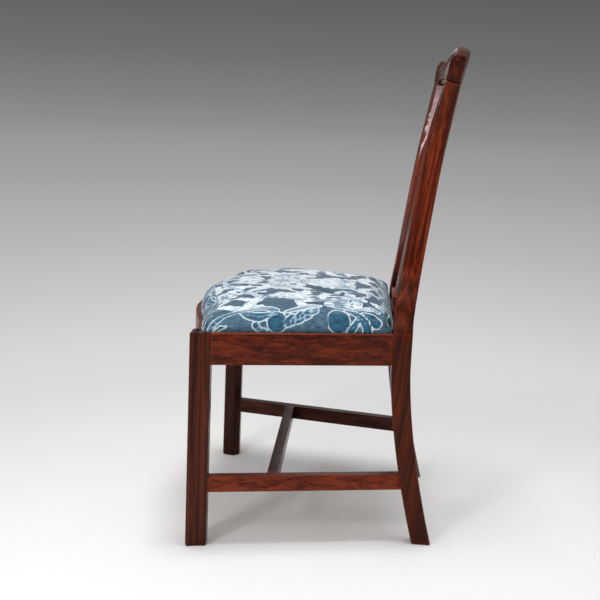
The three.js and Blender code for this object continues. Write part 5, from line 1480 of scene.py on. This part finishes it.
# The damask's colours. A share is a smooth step of what it reads, from one pair to the other, and
# a blend lays its second colour over its first by a share or by the way the surface faces. The
# blends by the way it faces are painted light: pale satin on top, deep on the sides. The last blend
# lays painted shade in the folds.
weave = {
    "shares": {"slub": ("slubs", 0.35, 0.65, 0.0, 1.0), "mottle": ("strokes", 0.3, 0.6, 0.0, 1.0),
               "drawn": ("line", 0.7, 1.9, 0.8, 0.0), "inside": ("figure", -0.5, 0.3, 1.0, 0.0),
               "edge": ("edgeAway", 0.6, 1.6, 0.8, 0.0), "paintedFoldShare": ("fold", 0.1, 0.9, 0.0, 0.7)},
    "blends": [("sideGround", "slub", "#26475d", "#5a7d92"),
               ("topGround", "slub", "#223f55", "#4f6f86"),
               ("ground", "paintedTopLight", "sideGround", "topGround"),
               ("sideFigure", "mottle", "#072c42", "#246483"),
               ("topFigure", "mottle", "#86b3cf", "#f8fcff"),
               ("satin", "paintedTopLight", "sideFigure", "topFigure"),
               ("lines", "paintedTopLight", "#9dc0d1", "#3f6c8b"),
               ("lined", "drawn", "satin", "lines"),
               ("woven", "inside", "ground", "lined"),
               ("outlined", "edge", "woven", "#dce9f0"),
               ("paintedFoldShade", "paintedFoldShare", "outlined", "#1c3a4c")],
}


# Silk and cotton damask: a satin figure on a ribbed ground, woven in blues and stretched over the
# pad. The satin is painted pale where it faces up, a painted sheen of the light overhead, and stays
# deep on the sides; the folds get painted shade. Its edge has a line of bare pale weft. Lengths are
# millimetres of cloth.
def wovenDamask(name):
    material, tree, shader = newMaterial(name)
    values = {kept: addNode(tree, "Attribute", {"attribute_name": kept}).outputs["Fac"]
              for kept in ("figure", "line", "paintedTopLight", "fold")}
    values["edgeAway"] = addNode(tree, "Math", {"operation": "ABSOLUTE"}, {0: values["figure"]})
    cloth = addNode(tree, "UVMap", {"uv_map": "cloth"})
    for layer, scale, detail, roughness in (
            ("strokes", (190, 60, 1), 5.0, 0.68),  # pile laid in strokes of 5 by 17 mm
            ("slubs", (620, 60, 1), 3.0, 0.6)):  # threads drawn 1.6 mm apart, so that they show
        size = addNode(tree, "Mapping", {"Scale": scale}, {"Vector": cloth})
        values[layer] = addNode(tree, "TexNoise", {"Scale": 1.0, "Detail": detail,
                                                   "Roughness": roughness}, {"Vector": size})
    for share, (source, low, high, first, last) in weave["shares"].items():
        values[share] = addNode(tree, "MapRange",
                                {"interpolation_type": "SMOOTHSTEP", "From Min": low,
                                 "From Max": high, "To Min": first, "To Max": last},
                                {"Value": values[source]})
    for result, share, *colours in weave["blends"]:
        parts = dict(zip((6, 7), colours))
        plain = {key: toLinear(part) for key, part in parts.items() if part.startswith("#")}
        linked = {key: values[part] for key, part in parts.items() if key not in plain}
        values[result] = addNode(tree, "Mix", {"data_type": "RGBA", **plain},
                                 {0: values[share], **linked}).outputs[2]
    rough = addNode(tree, "MapRange", {"To Min": 0.75, "To Max": 0.48},
                    {"Value": values["inside"]})
    height = addNode(tree, "Math", {"operation": "MULTIPLY_ADD", 1: 0.45},
                     {0: values["slubs"], 2: values["inside"]})
    bump = addNode(tree, "Bump", {"Strength": 0.35, "Distance": 0.0006}, {"Height": height})
    setNode(tree, shader, {"Sheen Weight": 0.25, "Sheen Roughness": 0.4},
            {"Base Color": values["paintedFoldShade"], "Roughness": rough, "Normal": bump})
    return material


makeCushion(wovenDamask("wovenBlueDamask"))
print("cushion made")


# Webbing and hessian: jute straps strained over the frame and tacked, laced over and under, and
# hessian tacked over them to carry the stuffing
webbing = {"long": ["webbing_1", "webbing_2", "webbing_3", "webbing_4"],
           "cross": ["cross_webbing_1", "cross_webbing_2", "cross_webbing_3"],
           "thickness": 1.1, "step": 5, "camber": 0.25, "rise": 0.75, "above": 0.2, "sharp": 50,
           "bell": (30, 4),  # width and power of the rise over another strap
           "columns": [0, 0.02, 0.1, 0.3, 0.5, 0.7, 0.9, 0.98, 1],  # shares of the width
           "frayed": 0.35, "selvedge": 0.47}
hessian = {"above": 1.0, "thickness": 0.7, "wave": 0.12, "reach": 150, "sharp": 60}


# Local box of a CAD node in millimetres, as its low and its high corner.
def localBox(name):
    low, high = (np.array(corner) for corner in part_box(name))
    return (low - [0, frontY, 0]) * 1000, (high - [0, frontY, 0]) * 1000


# A strap along Y, or along X where it is turned. At each crossing a bell with a flat middle lifts
# or lowers it, and it has a slight camber across. Its underside lies a thickness below, with the
# edges closed.
def makeStrap(name, low, high, crossings, turned, finish):
    width, length = (high - low)[:2]
    rows = max(4, int(length / webbing["step"]))
    v, u = np.meshgrid(np.linspace(0, 1, rows), webbing["columns"], indexing="ij")
    y = low[1] + v * length
    frayed = webbing["frayed"] * np.sin(v * length / 3.1 + u * 9)
    x = low[0] + u * width + frayed * (np.abs(u - 0.5) > webbing["selvedge"])
    base = frameTop + gap + webbing["thickness"] + webbing["above"] + webbing["rise"]
    top = base - webbing["camber"] * (2 * u - 1) ** 2
    wide, power = webbing["bell"]
    for place, sign in crossings:
        top += sign * webbing["rise"] * np.exp(-(((y - place) / wide) ** power))
    upper = np.stack([x, y, top], axis=-1)
    lower = (upper - [0, 0, webbing["thickness"]])[:, ::-1]
    ring = np.concatenate([upper, lower], axis=1)
    if turned:
        ring = ring[..., [1, 0, 2]]
    strap = makePiece(f"{name}_jute", ring, tubeFaces(*ring.shape[:2]), finish, "drop_in_seat",
                      [name], sharp=webbing["sharp"])


# Lays each strap in its node's box. It goes over one strap and under the next, and the straps
# beside it and across it the other way about.
def makeWebbing(longFinish, crossFinish):
    for key, others, axis, finish in (("long", "cross", 1, longFinish),
                                      ("cross", "long", 0, crossFinish)):
        places = [sum(corner[axis] for corner in localBox(other)) / 2 for other in webbing[others]]
        for number, name in enumerate(webbing[key]):
            low, high = (corner if axis else corner[[1, 0, 2]] for corner in localBox(name))
            crossings = [(place, 1 if (number + k + axis) % 2 == 0 else -1)
                         for k, place in enumerate(places)]
            makeStrap(name, low, high, crossings, axis == 0, finish)


# Hessian over the straps: flat on the frame, with the product of two sines between the outer
# straps, and closed by a lower face and walls.
def makeHessian(finish):
    low = localBox("seat_hessian")[0]
    edge = cushionOutline(coverEdge + cushion["cover"] + gap + cushion["tackLine"])
    grid = fillRing(np.insert(edge, 2, low[2] + hessian["above"], axis=1), wideCount, deepCount)
    waves = hessian["wave"] * np.sin(grid[..., 0] / 12) * np.sin(grid[..., 1] / 14)
    grid[..., 2] += waves * (np.abs(grid[..., 0]) < hessian["reach"])
    under = grid - [0, 0, hessian["thickness"]]
    numbers = np.arange(grid[..., 0].size).reshape(grid.shape[:2])
    total = numbers.size
    faces = gridFaces(numbers)
    rim = np.concatenate([numbers[:-1, 0], numbers[-1, :-1], numbers[:0:-1, -1],
                          numbers[0, :0:-1]])
    after = np.roll(rim, -1)
    walls = np.stack([rim, after, after + total, rim + total], axis=-1)
    piece = makePiece("seat_hessian_cloth", np.stack([grid, under]),
                      np.concatenate([faces, faces[:, ::-1] + total, walls]).tolist(), finish,
                      "drop_in_seat", ["seat_hessian"], sharp=hessian["sharp"])


makeWebbing(wovenJute("wovenJuteWebbing", (0, 0, 0), 1.6, "#5f4a2c", "#a48a5c"),
            wovenJute("wovenJuteCrossWebbing", (0, 0, quarter), 1.6, "#5a472c", "#9c8358"))
makeHessian(wovenJute("wovenHessian", (0, 0, 0), 1.3, "#6d5736", "#b39b6c"))
print("webbing made")

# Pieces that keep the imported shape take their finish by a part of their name
beech = sawnBeech("sawnBeech")
bare = {"block_screw": agedSteel("agedSteel"), "corner_block": beech, "seat_frame": beech}
for name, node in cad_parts.items():
    finish = next((bare[part] for part in bare if part in name), None)
    if finish:
        node.data.materials.clear()
        node.data.materials.append(finish)
print("blocks finished")
